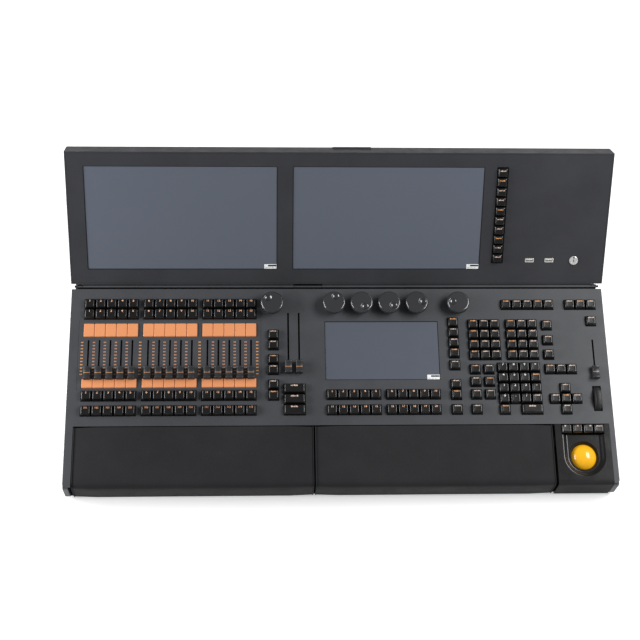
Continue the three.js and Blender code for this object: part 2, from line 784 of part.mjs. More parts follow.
function rearRoundPocket(u, radius) {
  const geometry = new THREE.CylinderGeometry(radius, radius, SOCKET_DEPTH + 1, 20);
  geometry.translate(u, REAR_FACE_Y - SOCKET_DEPTH / 2 + 0.5, REAR_SOCKET_Z);
  return toSolid(geometry);
}

const pockets = [rearPocket(INLET.u, INLET.width, INLET.height)];
NETWORK_U.forEach((u) => pockets.push(rearPocket(u, NETWORK_SIZE, NETWORK_SIZE)));
OUTPUT_U.forEach((u) => pockets.push(rearRoundPocket(u, OUTPUT_RADIUS)));
DATA_U.forEach((u) => pockets.push(rearPocket(u, ...DATA_SIZE)));
const rearPlate = box(...DECK_INNER, REAR_PLATE.y0, REAR_PLATE.y1, REAR_PLATE.z0, REAR_PLATE.z1);
addPart("rear_connector_panel", rearPlate.subtract(join(pockets)), worldMatrix, SHEET_STEEL);

addPart("front_foot", box(60, 887, -336, -318, 0, FOOT_HEIGHT - CLEARANCE), worldMatrix, RUBBER);
addPart("rear_foot", box(60, 887, 214, 232, 0, FOOT_HEIGHT - CLEARANCE), worldMatrix, RUBBER);
addPart("main_board", box(300, 620, 30, 210, 14, 15.6), worldMatrix, BOARD_GREEN);
addPart("power_supply", box(740, 920, 60, 190, 8, 42), worldMatrix, SHEET_STEEL);

// Touchscreen: glass in a panel window, on a wider case below.
const CASE_MARGIN = 5;
const CASE_DEPTH = 9;
const CENTER_GLASS_TOP = -0.8;
const HOUSING_GLASS_TOP = -1;

function screenBody({ u0, u1, v0, v1 }, glassTop) {
  const glass = panelBox(
    u0 + CLEARANCE,
    u1 - CLEARANCE,
    v0 + CLEARANCE,
    v1 - CLEARANCE,
    -PANEL_THICKNESS - 2,
    glassTop,
  );
  const body = panelBox(
    u0 - CASE_MARGIN,
    u1 + CASE_MARGIN,
    v0 - CASE_MARGIN,
    v1 + CASE_MARGIN,
    -PANEL_THICKNESS - CASE_DEPTH,
    -PANEL_THICKNESS - CLEARANCE,
  );
  return glass.add(body);
}

addPart("center_touchscreen", screenBody(CENTER_SCREEN, CENTER_GLASS_TOP), panelMatrix, SCREEN_GLASS);

// ---------------------------------------------------------------- screen housing

const sideGrow = (HOUSING_WIDTH - DESK_WIDTH) / 2;
const HOUSING_U = [-sideGrow, DESK_WIDTH + sideGrow];

// Side outline of the shell, or of its hollow when moved in by the wall and open at the face.
function shellOutline(wall, faceN) {
  const top = HOUSING_HEIGHT - wall;
  const back = wall - HOUSING_DEPTH;
  return [
    [wall, faceN],
    [top, faceN],
    [top, back + HOUSING_TOP_CORNER],
    [top - HOUSING_TOP_CORNER, back],
    [wall + HOUSING_LOW_CORNER, back],
    [wall, back + HOUSING_LOW_CORNER],
  ];
}

const cavity = extrudeProfile(
  shellOutline(SHELL_WALL, 1),
  HOUSING_U[0] + SHELL_WALL,
  HOUSING_U[1] - SHELL_WALL,
);
const tab = box(
  GRIP_TAB.u0,
  GRIP_TAB.u1,
  HOUSING_HEIGHT - 1,
  HOUSING_HEIGHT + GRIP_TAB.rise,
  4 - HOUSING_DEPTH,
  12 - HOUSING_DEPTH,
);
const knuckles = HOUSING_KNUCKLES.flatMap(([u0, u1]) => [
  rodAlongX(u0, u1, HINGE_AXIS.w, HINGE_AXIS.n, KNUCKLE_RADIUS, 24),
  box(u0, u1, HINGE_AXIS.w, 1, HINGE_AXIS.n - 1.4, HINGE_AXIS.n + 1.4),
]);
const shell = join([
  extrudeProfile(shellOutline(0, 0), ...HOUSING_U).subtract(cavity),
  tab,
  ...knuckles,
]).subtract(rodAlongX(-9, DESK_WIDTH + 9, HINGE_AXIS.w, HINGE_AXIS.n, BORE_RADIUS, 24));
addPart("screen_rear_shell", shell, housingMatrix, HOUSING_PAINT);

const USB_RIM = 0.6;
const USB_MOUTH = { width: 12.6, height: 4.6, depth: 12 };
const USB_BLOCK = { reach: 8, height: 8, depth: 16 };
const USB_COLLAR = { width: 15, height: 6.8, depth: 6 };
const USB_HOLE = { width: 16, height: 7.6 };

// Box about one socket centre, between two depths.
function aboutSocket(u, width, height, n0, n1) {
  return box(u - width / 2, u + width / 2, USB_W - height / 2, USB_W + height / 2, n0, n1);
}

const faceHoles = [
  box(...LEFT_SCREEN_U, ...SCREEN_W, -9, 9),
  box(...RIGHT_SCREEN_U, ...SCREEN_W, -9, 9),
  box(
    SCREEN_KEYS.u0,
    SCREEN_KEYS.u0 + SCREEN_KEYS.width,
    SCREEN_KEYS.w0,
    SCREEN_KEYS.w0 + SCREEN_KEYS.pitch * SCREEN_KEYS.count,
    -9,
    9,
  ),
  ...USB_CENTRES_U.map((u) => aboutSocket(u, USB_HOLE.width, USB_HOLE.height, -9, 9)),
  post(LOCK.u, LOCK.w, -9, 9, LOCK.radius + CLEARANCE, 32),
];
const facePlate = box(
  HOUSING_U[0] + SHELL_WALL + CLEARANCE,
  HOUSING_U[1] - SHELL_WALL - CLEARANCE,
  SHELL_WALL + CLEARANCE,
  HOUSING_HEIGHT - SHELL_WALL - CLEARANCE,
  -PANEL_THICKNESS,
  0,
);
addPart("screen_front_panel", facePlate.subtract(join(faceHoles)), housingMatrix, HOUSING_PAINT);

[["left_touchscreen", LEFT_SCREEN_U], ["right_touchscreen", RIGHT_SCREEN_U]].forEach(([name, [u0, u1]]) => {
  const opening = { u0, u1, v0: -SCREEN_W[1], v1: -SCREEN_W[0] };
  addPart(name, screenBody(opening, HOUSING_GLASS_TOP), housingMatrix, SCREEN_GLASS);
});

const screenKeyBlock = {
  u0: SCREEN_KEYS.u0 + 0.2,
  v0: -SCREEN_KEYS.w0 - SCREEN_KEYS.pitch * SCREEN_KEYS.count,
  columns: 1,
  rows: SCREEN_KEYS.count,
  stepU: SCREEN_KEYS.width - 0.4,
  stepV: SCREEN_KEYS.pitch,
  height: 5,
  slopes: [1.8, 1.6, 1.8],
};
addPart("screen_keys", bank([screenKeyBlock], []), housingMatrix, KEY_PLASTIC);

// Two data sockets on one block behind the face, each with a bright rim and an open mouth.
const usbBlock = join([
  box(
    USB_CENTRES_U[0] - USB_BLOCK.reach,
    USB_CENTRES_U[1] + USB_BLOCK.reach,
    USB_W - USB_BLOCK.height / 2,
    USB_W + USB_BLOCK.height / 2,
    -USB_BLOCK.depth,
    -PANEL_THICKNESS - CLEARANCE,
  ),
  ...USB_CENTRES_U.map((u) => (
    aboutSocket(u, USB_COLLAR.width, USB_COLLAR.height, -USB_COLLAR.depth, USB_RIM)
  )),
]);
const usbMouths = USB_CENTRES_U.map((u) => (
  aboutSocket(u, USB_MOUTH.width, USB_MOUTH.height, USB_RIM - USB_MOUTH.depth, 5)
));
addPart("usb_socket_pair", usbBlock.subtract(join(usbMouths)), housingMatrix, BRIGHT_METAL);

const lockBody = turned(LOCK.u, LOCK.w, [
  [0, -20],
  [LOCK.radius - 1, -20],
  [LOCK.radius - 1, -4],
  [LOCK.radius, -4],
  [LOCK.radius, 1.2],
  [LOCK.radius - 0.8, 2],
  [0, 2],
], 32);
const keyway = box(LOCK.u - 1, LOCK.u + 1, LOCK.w - 1, LOCK.w + LOCK.radius - 2, -3, 3);
addPart("key_lock", lockBody.subtract(keyway), housingMatrix, BRIGHT_METAL);

// ---------------------------------------------------------------- place on the ground, centred

const bounds = new THREE.Box3().setFromObject(group);
const centerY = (bounds.min.y + bounds.max.y) / 2;
const centerX = (bounds.min.x + bounds.max.x) / 2;
group.children.forEach((mesh) => {
  mesh.geometry.translate(-centerX, -centerY, -bounds.min.z);
});

export default group;
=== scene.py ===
"""Looks of a lighting control desk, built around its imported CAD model.

Local sizes are in millimetres. Three working frames carry them to the row frame in metres:
PANEL (u right, -v up the slope, n off the face), FACE (u right, w up the screens, n off the face)
and BASE (u right, y to the rear from the panel's back edge, z up from the ground).
"""

import math

import bmesh
import bpy
from mathutils import Matrix, Vector


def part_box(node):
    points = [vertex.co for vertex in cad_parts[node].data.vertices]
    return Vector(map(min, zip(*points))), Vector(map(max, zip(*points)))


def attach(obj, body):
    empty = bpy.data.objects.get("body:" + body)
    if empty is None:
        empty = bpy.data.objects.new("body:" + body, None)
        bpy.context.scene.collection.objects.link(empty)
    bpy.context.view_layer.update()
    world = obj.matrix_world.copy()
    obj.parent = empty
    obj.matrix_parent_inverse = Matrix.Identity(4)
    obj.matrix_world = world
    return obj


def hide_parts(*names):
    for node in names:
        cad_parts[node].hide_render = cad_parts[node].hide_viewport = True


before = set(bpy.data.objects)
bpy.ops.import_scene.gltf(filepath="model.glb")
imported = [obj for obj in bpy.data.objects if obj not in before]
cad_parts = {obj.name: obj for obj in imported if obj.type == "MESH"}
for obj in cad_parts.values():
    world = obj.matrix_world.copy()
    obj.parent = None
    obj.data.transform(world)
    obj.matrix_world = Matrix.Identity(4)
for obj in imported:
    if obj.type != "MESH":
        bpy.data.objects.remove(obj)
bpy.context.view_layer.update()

MM = 0.001
TILT = math.radians(6)
FACE_ANGLE = math.radians(47.4)
DESK_WIDTH = 947
PANEL_THICKNESS = 3
KEY_PITCH = 19.05

panel_low, panel_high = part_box("control_panel")
back_edge = Vector((
    panel_low[0],
    panel_high[1] - PANEL_THICKNESS * MM * math.sin(TILT),
    panel_high[2],
))
face_foot = back_edge + Vector((0, 7.6 * MM, 5.4 * MM))
SCALE = Matrix.Scale(MM, 4)
PANEL = Matrix.Translation(back_edge) @ Matrix.Rotation(TILT, 4, "X") @ SCALE
FACE = Matrix.Translation(face_foot) @ Matrix.Rotation(FACE_ANGLE, 4, "X") @ SCALE
BASE = Matrix.Translation((back_edge.x, back_edge.y, 0)) @ SCALE


# ------------------------------------------------------------------ materials

def link(tree, source, target):
    tree.links.new(source, target)


def node(tree, kind, **values):
    made = tree.nodes.new(kind)
    for key, value in values.items():
        if key in made.inputs:
            made.inputs[key].default_value = value
        else:
            setattr(made, key, value)
    return made


def ramp(tree, source, low, high, low_color, high_color):
    made = node(tree, "ShaderNodeValToRGB")
    made.color_ramp.elements[0].position = low
    made.color_ramp.elements[1].position = high
    made.color_ramp.elements[0].color = (*low_color, 1)
    made.color_ramp.elements[1].color = (*high_color, 1)
    link(tree, source, made.inputs["Fac"])
    return made.outputs["Color"]


def scaled(color, factor):
    return tuple(min(1, c * factor) for c in color)


def moulded(name, color, roughness, grain=0.00025, bump=0.12, variation=0.12, metallic=0.0,
            coat=0.0, smudge=0.12, emission=0.0, dust=0.0, specular=0.5, stretch=(1, 1, 1)):
    """Paint or plastic with a fine surface grain, slow colour drift, smudges and settled dust."""
    made = bpy.data.materials.new(name)
    made.use_nodes = True
    tree = made.node_tree
    shader = tree.nodes["Principled BSDF"]
    shader.inputs["Metallic"].default_value = metallic
    shader.inputs["Coat Weight"].default_value = coat
    shader.inputs["Coat Roughness"].default_value = 0.08
    shader.inputs["Specular IOR Level"].default_value = specular
    where = node(tree, "ShaderNodeTexCoord").outputs["Object"]
    placed = node(tree, "ShaderNodeMapping", Scale=stretch)
    link(tree, where, placed.inputs["Vector"])
    place = placed.outputs["Vector"]

    drift = node(tree, "ShaderNodeTexNoise", Scale=9.0, Detail=5.0, Roughness=0.6)
    fine = node(tree, "ShaderNodeTexNoise", Scale=1 / grain, Detail=3.0, Roughness=0.7)
    link(tree, place, drift.inputs["Vector"])
    link(tree, place, fine.inputs["Vector"])
    broad = ramp(tree, drift.outputs["Fac"], 0.3, 0.7,
                 scaled(color, 1 - variation), scaled(color, 1 + variation))
    speck = ramp(tree, fine.outputs["Fac"], 0.35, 0.65,
                 (1 - variation,) * 3, (1.0, 1.0, 1.0))
    mixed = node(tree, "ShaderNodeMix", data_type="RGBA", blend_type="MULTIPLY")
    mixed.inputs["Factor"].default_value = 1.0
    link(tree, broad, mixed.inputs["A"])
    link(tree, speck, mixed.inputs["B"])
    result = mixed.outputs["Result"]
    if dust:
        up = node(tree, "ShaderNodeNewGeometry").outputs["Normal"]
        parts = node(tree, "ShaderNodeSeparateXYZ")
        link(tree, up, parts.inputs["Vector"])
        flecks = node(tree, "ShaderNodeTexNoise", Scale=700.0, Detail=2.0, Roughness=0.6)
        link(tree, where, flecks.inputs["Vector"])
        gate = node(tree, "ShaderNodeMath", operation="MULTIPLY")
        fleck_mask = ramp(tree, flecks.outputs["Fac"], 0.62, 0.74, (0, 0, 0), (dust,) * 3)
        link(tree, fleck_mask, gate.inputs[0])
        link(tree, parts.outputs["Z"], gate.inputs[1])
        dusty = node(tree, "ShaderNodeMix", data_type="RGBA")
        dusty.inputs["B"].default_value = (0.5, 0.49, 0.47, 1)
        link(tree, gate.outputs["Value"], dusty.inputs["Factor"])
        link(tree, result, dusty.inputs["A"])
        result = dusty.outputs["Result"]
    link(tree, result, shader.inputs["Base Color"])

    smear = node(tree, "ShaderNodeTexNoise", Scale=38.0, Detail=4.0, Roughness=0.65)
    link(tree, place, smear.inputs["Vector"])
    gloss = node(tree, "ShaderNodeMapRange")
    gloss.inputs["From Min"].default_value = 0.3
    gloss.inputs["From Max"].default_value = 0.7
    gloss.inputs["To Min"].default_value = max(0.02, roughness * (1 - smudge))
    gloss.inputs["To Max"].default_value = min(1.0, roughness * (1 + smudge))
    link(tree, smear.outputs["Fac"], gloss.inputs["Value"])
    link(tree, gloss.outputs["Result"], shader.inputs["Roughness"])

    relief = node(tree, "ShaderNodeBump", Strength=bump, Distance=grain * 0.5)
    link(tree, fine.outputs["Fac"], relief.inputs["Height"])
    link(tree, relief.outputs["Normal"], shader.inputs["Normal"])
    if emission:
        link(tree, result, shader.inputs["Emission Color"])
        shader.inputs["Emission Strength"].default_value = emission
    return made


PANEL_PAINT = moulded("panel_paint", (0.054, 0.057, 0.063), 0.5, grain=0.0005, bump=0.16, dust=0.05,
                      specular=0.4)
HOUSING_PAINT = moulded("housing_paint", (0.044, 0.045, 0.05), 0.5, grain=0.0005, bump=0.16, dust=0.05,
                        specular=0.1)
REST_SKIN = moulded("rest_skin", (0.03, 0.03, 0.032), 0.5, grain=0.0008, bump=0.25, dust=0.04,
                    specular=0.02)
KEY_PLASTIC = moulded("key_plastic", (0.003, 0.003, 0.0036), 0.3, bump=0.0, smudge=0.15, specular=0.65)
POD_SKIN = moulded("pod_skin", (0.0085, 0.0085, 0.009), 0.24, grain=0.0008, bump=0.06, specular=0.38)
LAMP_PLASTIC = moulded("lamp_plastic", (0.6, 0.235, 0.1), 0.35, variation=0.04, emission=0.3)
CAP_PLASTIC = moulded("cap_plastic", (0.03, 0.031, 0.034), 0.4, bump=0.15)
KNOB_PLASTIC = moulded("knob_plastic", (0.03, 0.031, 0.034), 0.2, bump=0.0, smudge=0.0, specular=0.95)
BLACK_PLASTIC = moulded("black_plastic", (0.003, 0.003, 0.004), 0.35, bump=0.1, specular=0.25)
# The ball's emission is painted light: it keeps the resin bright out to its edges, where the lamps alone
# would shade it darker.
BALL_RESIN = moulded("ball_resin", (0.9, 0.45, 0.014), 0.2, grain=0.004, bump=0.0, variation=0.04,
                     coat=0.2, emission=0.16)
SCREEN_GLASS = moulded("screen_glass", (0.105, 0.12, 0.152), 0.3, grain=0.02, bump=0.0,
                       variation=0.01, coat=0.15, smudge=0.06)
CENTER_GLASS = moulded("center_glass", (0.086, 0.098, 0.125), 0.34, grain=0.02, bump=0.0,
                       variation=0.01, smudge=0.06)
SCREEN_EDGE = moulded("screen_edge", (0.012, 0.012, 0.014), 0.35, bump=0.05)
CREAM_INK = moulded("cream_ink", (0.72, 0.55, 0.44), 0.6, variation=0.15)
WHITE_INK = moulded("white_ink", (0.85, 0.85, 0.82), 0.6, variation=0.06)
GLOW_INK = moulded("glow_ink", (0.78, 0.43, 0.25), 0.6, variation=0.08, emission=0.25)
SCALE_INK = moulded("scale_ink", (0.62, 0.29, 0.16), 0.6, variation=0.1)
AMBER_INK = moulded("amber_ink", (0.8, 0.36, 0.12), 0.6, variation=0.15)
LABEL_PAPER = moulded("label_paper", (0.85, 0.86, 0.87), 0.55, grain=0.0003, variation=0.03)
CHROME = moulded("bright_metal", (0.85, 0.85, 0.83), 0.24, metallic=0.55, bump=0.05, variation=0.06)
STEEL = moulded("sheet_steel", (0.5, 0.51, 0.52), 0.34, grain=0.0004, metallic=1.0, bump=0.2,
                stretch=(0.06, 1, 1))
DARK_STEEL = moulded("dark_steel", (0.07, 0.07, 0.075), 0.4, metallic=0.9, bump=0.1)
HINGE_BLACK = moulded("hinge_black", (0.008, 0.008, 0.009), 0.3, bump=0.08)
BRASS = moulded("contact_gold", (0.8, 0.58, 0.25), 0.25, metallic=1.0, bump=0.05)
RUBBER = moulded("rubber", (0.02, 0.02, 0.02), 0.85, grain=0.0008, bump=0.4)
WHEEL_RUBBER = moulded("wheel_rubber", (0.01, 0.01, 0.011), 0.5, grain=0.0006, bump=0.25)
BOARD = moulded("board", (0.02, 0.11, 0.05), 0.45, variation=0.2)


# ------------------------------------------------------------------ mesh helpers

def add_piece(name, shape, space, surfaces, body, replaces=(), sharp=38):
    """Turns a bmesh into a shown piece riding on a CAD body."""
    bmesh.ops.recalc_face_normals(shape, faces=shape.faces)
    mesh = bpy.data.meshes.new(name)
    shape.to_mesh(mesh)
    shape.free()
    mesh.transform(space)
    for surface in surfaces:
        mesh.materials.append(surface)
    mesh.shade_smooth()
    mesh.set_sharp_from_angle(angle=math.radians(sharp))
    piece = bpy.data.objects.new(name, mesh)
    bpy.context.scene.collection.objects.link(piece)
    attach(piece, body)
    if replaces:
        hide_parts(*replaces)
    return piece


def add_loft(shape, rings, material=0, cap_low=True, cap_high=True):
    """Skins closed rings of points, in order, and closes the ends."""
    layers = [[shape.verts.new(point) for point in ring] for ring in rings]
    count = len(layers[0])
    faces = []
    for low, high in zip(layers, layers[1:]):
        for i in range(count):
            j = (i + 1) % count
            faces.append(shape.faces.new((low[i], low[j], high[j], high[i])))
    if cap_low:
        faces.append(shape.faces.new(layers[0][::-1]))
    if cap_high:
        faces.append(shape.faces.new(layers[-1]))
    for face in faces:
        face.material_index = material
    return layers


def round_rect(x0, x1, y0, y1, z, radius, steps=3):
    """Counter-clockwise rounded rectangle at height z."""
    radius = max(0.01, min(radius, (x1 - x0) / 2 - 0.01, (y1 - y0) / 2 - 0.01))
    corners = [(x1 - radius, y1 - radius, 0), (x0 + radius, y1 - radius, 90),
               (x0 + radius, y0 + radius, 180), (x1 - radius, y0 + radius, 270)]
    points = []
    for x, y, start in corners:
        for i in range(steps + 1):
            angle = math.radians(start + 90 * i / steps)
            points.append((x + radius * math.cos(angle), y + radius * math.sin(angle), z))
    return points


def circle(x, y, z, radius, count=32):
    turn = 2 * math.pi / count
    return [(x + radius * math.cos(i * turn), y + radius * math.sin(i * turn), z) for i in range(count)]


def soft_box(shape, x0, x1, y0, y1, z0, z1, radius=0.6, edge=0.3, material=0, steps=3):
    """Box standing on z0 with rounded vertical corners and a rounded top edge."""
    rings = [round_rect(x0, x1, y0, y1, z0, radius, steps)]
    rings.append(round_rect(x0, x1, y0, y1, z1 - edge, radius, steps))
    for share in (0.5, 1.0):
        inset = edge * (1 - math.cos(share * math.pi / 2))
        rise = edge * math.sin(share * math.pi / 2)
        rings.append(round_rect(x0 + inset, x1 - inset, y0 + inset, y1 - inset,
                                z1 - edge + rise, radius, steps))
    add_loft(shape, rings, material)


def turned(shape, x, y, profile, count=48, material=0):
    """Skins a profile of (radius, z) pairs about a vertical axis; both ends are closed."""
    rings = [circle(x, y, z, max(radius, 0.01), count) for radius, z in profile]
    add_loft(shape, rings, material)


def place(shape, made, matrix):
    """Copies a mesh into a bmesh through a matrix."""
    start = len(shape.verts)
    shape.from_mesh(made)
    shape.verts.ensure_lookup_table()
    for vert in shape.verts[start:]:
        vert.co = matrix @ vert.co


GLYPHS = {}


def glyph(text):
    """Mesh of a short generic mark, one unit high, centred, cached."""
    if text not in GLYPHS:
        curve = bpy.data.curves.new("mark", "FONT")
        curve.body = text
        curve.size = 1.4
        curve.align_x = "CENTER"
        curve.align_y = "CENTER"
        curve.extrude = 0.02
        curve.offset = 0.025
        curve.resolution_u = 2
        holder = bpy.data.objects.new("mark", curve)
        bpy.context.scene.collection.objects.link(holder)
        bpy.context.view_layer.update()
        GLYPHS[text] = bpy.data.meshes.new_from_object(holder)
        bpy.data.objects.remove(holder)
    return GLYPHS[text]


def stamp(shape, text, x, y, z, height, material=0, stretch=1.0):
    """Prints a mark on a face at z."""
    start = len(shape.faces)
    size = Matrix.Diagonal((height * stretch, height, 1, 1))
    place(shape, glyph(text), Matrix.Translation((x, y, z)) @ size)
    shape.faces.ensure_lookup_table()
    for face in shape.faces[start:]:
        face.material_index = material


def word_bar(shape, x, y, z, width, height, material, seed):
    """Prints a row of short strokes that reads as a small printed word."""
    pattern = [0.9, 0.55, 0.75, 0.6, 0.85, 0.5, 0.7]
    cursor = x - width / 2
    step = width / 5
    for i in range(5):
        stroke = step * pattern[(seed + i * 3) % 7]
        rise = height * (1.0 if (seed + i) % 3 == 0 else 0.72)
        soft_box(shape, cursor, cursor + stroke, y - height / 2, y - height / 2 + rise,
                 z - 0.2, z + 0.06, 0.2, 0.03, material, 1)
        cursor += step


# ------------------------------------------------------------------ keys

GROUP_LEFT = [23.95, 127.55, 230.95]
GROUP_COLUMNS = 5
KEY_GAP = 0.9
SKIRT_LOW = -3.2
KEY_RIM = ((0.0, 0.55), (0.16, 0.32), (0.4, 0.13), (0.68, 0.035), (1.0, 0.0))
KEY_STYLE = {"height": 7, "side": 1.7, "back": 1.2, "front": 2.6, "dish": 0.14}
LAMP_STYLE = {"height": 1.8, "side": 0.45, "back": 0.45, "front": 0.45, "dish": 0.1}
POD_STYLE = {"height": 5, "side": 1.8, "back": 1.0, "front": 1.9, "dish": 0.1}
SCREEN_STYLE = {"height": 5, "side": 1.9, "back": 1.7, "front": 1.9, "dish": 0.1}


def block(u0, v0, columns, rows, marks, step_u=KEY_PITCH, step_v=KEY_PITCH):
    """Rows of keys from a left and a back edge; marks holds one string for each key."""
    return {"u0": u0, "v0": v0, "columns": columns, "rows": rows, "marks": marks,
            "step_u": step_u, "step_v": step_v}


def key_cap(shape, x0, x1, y0, y1, style):
    """Keycap with a straight skirt, sloping sides, rounded rim and dished top. Returns the top's box."""
    half = KEY_GAP / 2
    x0, x1, y0, y1 = x0 + half, x1 - half, y0 + half, y1 - half
    top = style["height"]
    skirt = min(0.7, top * 0.35)
    rim = min(1.6, (top - skirt) * 0.35)
    side, back, front = style["side"], style["back"], style["front"]
    rings = [round_rect(x0, x1, y0, y1, SKIRT_LOW, 0.8), round_rect(x0, x1, y0, y1, skirt, 0.8)]
    share = (top - rim - skirt) / (top - skirt)
    rings.append(round_rect(x0 + side * share, x1 - side * share, y0 + front * share, y1 - back * share,
                            top - rim, 1.4))
    tx0, tx1, ty0, ty1 = x0 + side, x1 - side, y0 + front, y1 - back
    for inset, sink in KEY_RIM:
        step = inset * rim
        rings.append(round_rect(tx0 + step, tx1 - step, ty0 + step, ty1 - step, top - sink * rim, 1.7))
    cx, cy = (tx0 + tx1) / 2, (ty0 + ty1) / 2
    for share in (0.72, 0.42, 0.12):
        drop = style["dish"] * (1 - share * share)
        half_x, half_y = (tx1 - tx0) / 2 * share, (ty1 - ty0) / 2 * share
        rings.append(round_rect(cx - half_x, cx + half_x, cy - half_y, cy + half_y,
                                top - drop, 1.7 * share))
    add_loft(shape, rings)
    return tx0, tx1, ty0, ty1


DOT_PLACES = {"l": -3.2, "c": 0.0, "r": 3.2}


def mark_key(shape, kind, top_box, style, seed):
    """Prints the mark on a key: w a word bar, W a long one, l c r a dot, a number or sign as itself."""
    x0, x1, y0, y1 = top_box
    cx = (x0 + x1) / 2
    z = style["height"] - style["dish"] * 0.62
    ink = 2 if seed % 3 == 0 else 1
    if kind == "w":
        word_bar(shape, cx, y1 - 2.7, z, min(10.0, x1 - x0 - 2.4), 2.4, ink, seed)
    elif kind in DOT_PLACES:
        dot_x = cx + DOT_PLACES[kind]
        soft_box(shape, dot_x - 1.3, dot_x + 1.3, y1 - 3.6, y1 - 1.2, z - 0.2, z + 0.06, 0.5, 0.03, ink)
    elif kind == "W":
        word_bar(shape, cx, y1 - 3.0, z, 13, 3.0, 1, seed)
    elif kind != " ":
        ink, stretch = {1: (3, 1.1), 2: (1, 0.85), 3: (2, 0.75)}[len(kind)]
        stamp(shape, kind, cx, y1 - 3.3, z, 4.3, ink, stretch=stretch)


def key_bank(name, blocks, body, space=PANEL, style=KEY_STYLE, surfaces=None):
    """Shows the caps and marks of one bank in place of its CAD node."""
    shape = bmesh.new()
    seed = len(name)
    for made in blocks:
        for row in range(made["rows"]):
            for column in range(made["columns"]):
                x0 = made["u0"] + column * made["step_u"]
                y1 = -made["v0"] - row * made["step_v"]
                top_box = key_cap(shape, x0, x0 + made["step_u"], y1 - made["step_v"], y1, style)
                kind = made["marks"][row * made["columns"] + column]
                mark_key(shape, kind, top_box, style, seed)
                seed += 1
    surfaces = surfaces or [KEY_PLASTIC, CREAM_INK, AMBER_INK, WHITE_INK]
    return add_piece(name + "_caps", shape, space, surfaces, body, (name,))


def lamp_bank(name, v0, depth):
    """Row of plain lit keys over the fifteen executors."""
    lamps = [block(u0, v0, GROUP_COLUMNS, 1, " " * GROUP_COLUMNS, step_v=depth) for u0 in GROUP_LEFT]
    key_bank(name, lamps, name, style=LAMP_STYLE, surfaces=[LAMP_PLASTIC])


def numbered(first, count):
    return [str(first + i) for i in range(count)]


upper_numbers = [numbered(1 + 5 * group, 5) * 2 for group in range(3)]
lower_numbers = [numbered(1 + 5 * group, 5) for group in range(3)]
page_numbers = [numbered(101 + 5 * group, 5) for group in range(3)]
LIT_NUMBERS = [KEY_PLASTIC, GLOW_INK, SCALE_INK, GLOW_INK]
key_bank("executor_keys_upper",
         [block(u0, 19.3, 5, 2, marks) for u0, marks in zip(GROUP_LEFT, upper_numbers)],
         "executor_keys_upper", surfaces=LIT_NUMBERS)
lamp_bank("executor_lamps_upper", 64.7, 25)
lamp_bank("executor_lamps_lower", 166.2, 16.9)
key_bank("executor_keys_lower",
         [block(u0, 187.9, 5, 1, marks) for u0, marks in zip(GROUP_LEFT, lower_numbers)]
         + [block(u0, 214.6, 5, 1, marks) for u0, marks in zip(GROUP_LEFT, page_numbers)],
         "executor_keys_lower", surfaces=LIT_NUMBERS)
key_bank("playback_keys",
         [block(346.2, v0, 1, 2, marks) for v0, marks in ((77.2, "ww"), (122.6, "ww"), (168.9, "ww"))]
         + [block(373, 176.5, 1, 3, "WWW", step_u=2 * KEY_PITCH)],
         "playback_keys")
key_bank("macro_keys",
         [block(u0, v0, 5, 1, marks) for u0, v0, marks in (
             (447.45, 187.3, numbered(1, 5)), (551.35, 187.3, numbered(6, 5)),
             (447.45, 214.8, numbered(11, 5)), (551.35, 214.8, numbered(16, 5)))],
         "macro_keys", surfaces=LIT_NUMBERS)
key_bank("view_keys",
         [block(664.6, v0, 1, rows, "w" * rows)
          for v0, rows in ((55.1, 4), (134.4, 1), (169.4, 2), (214.9, 1))],
         "view_keys")
key_bank("command_keys",
         [block(700.35, 58.7, 3, 4, "w" * 12), block(767.45, 58.7, 3, 4, "w" * 12)]
         + [block(832.2, v0, 1, 1, "w") for v0 in (60.6, 88.6, 115.4)],
         "command_keys")
key_bank("number_keys",
         [block(748.35, 139.4, 4, 4, "789+456w123-0./w"),
          block(748.35, 215.6, 1, 1, "w"),
          block(786.45, 215.6, 1, 1, "W", step_u=2 * KEY_PITCH),
          block(699.4, 214.8, 1, 1, "w"),
          block(832.4, 142.4, 3, 1, "www")]
         + [block(u0, v0, 1, 1, "w") for v0 in (142.2, 165, 187.9) for u0 in (699.9, 724.2)],
         "number_keys")
key_bank("arrow_keys",
         [block(856.45, 177.5, 1, 1, "w"), block(837.4, 196.55, 3, 1, "www"),
          block(856.45, 215.6, 1, 1, "w")],
         "arrow_keys")
key_bank("top_row_keys",
         [block(761.75, 21.5, 5, 1, "wwwww"), block(876.35, 21.5, 3, 1, "www"),
          block(912.6, 52.8, 1, 1, "w")],
         "top_row_keys")
key_bank("trackball_keys", [block(853.6, 252.4, 4, 1, "lcrw", 18.6, 16.4)], "trackball_keys",
         style=POD_STYLE)
SCREEN_KEYS = {"u0": 745.4, "w0": 39.6, "width": 18.6, "pitch": 17.45, "count": 10}
key_bank("screen_keys",
         [block(SCREEN_KEYS["u0"], -SCREEN_KEYS["w0"] - SCREEN_KEYS["pitch"] * SCREEN_KEYS["count"],
                1, SCREEN_KEYS["count"], "w" * 10, SCREEN_KEYS["width"], SCREEN_KEYS["pitch"])],
         "screen_keys", space=FACE, style=SCREEN_STYLE)


# ------------------------------------------------------------------ faders

FADER_U = [left + (i + 0.5) * KEY_PITCH for left in GROUP_LEFT for i in range(GROUP_COLUMNS)]
FADER_REST_V = 157.4
MASTER = (922, 159)
CROSSFADERS = {"crossfader_a": 382, "crossfader_b": 400.9}
CROSSFADER_REST_V = 147.4
CAP_LENGTH = 22.6
CAP_WIDTH = 12.6
CAP_LIFT = 2.3


def cap_height(y):
    """Height of a fader cap along its length: two raised ends and a saddle between."""
    reach = abs(y) / (CAP_LENGTH / 2)
    if reach < 0.78:
        return 8.4 + 3.6 * (reach / 0.78) ** 1.7
    return 12 - 0.5 * ((reach - 0.78) / 0.22) ** 2


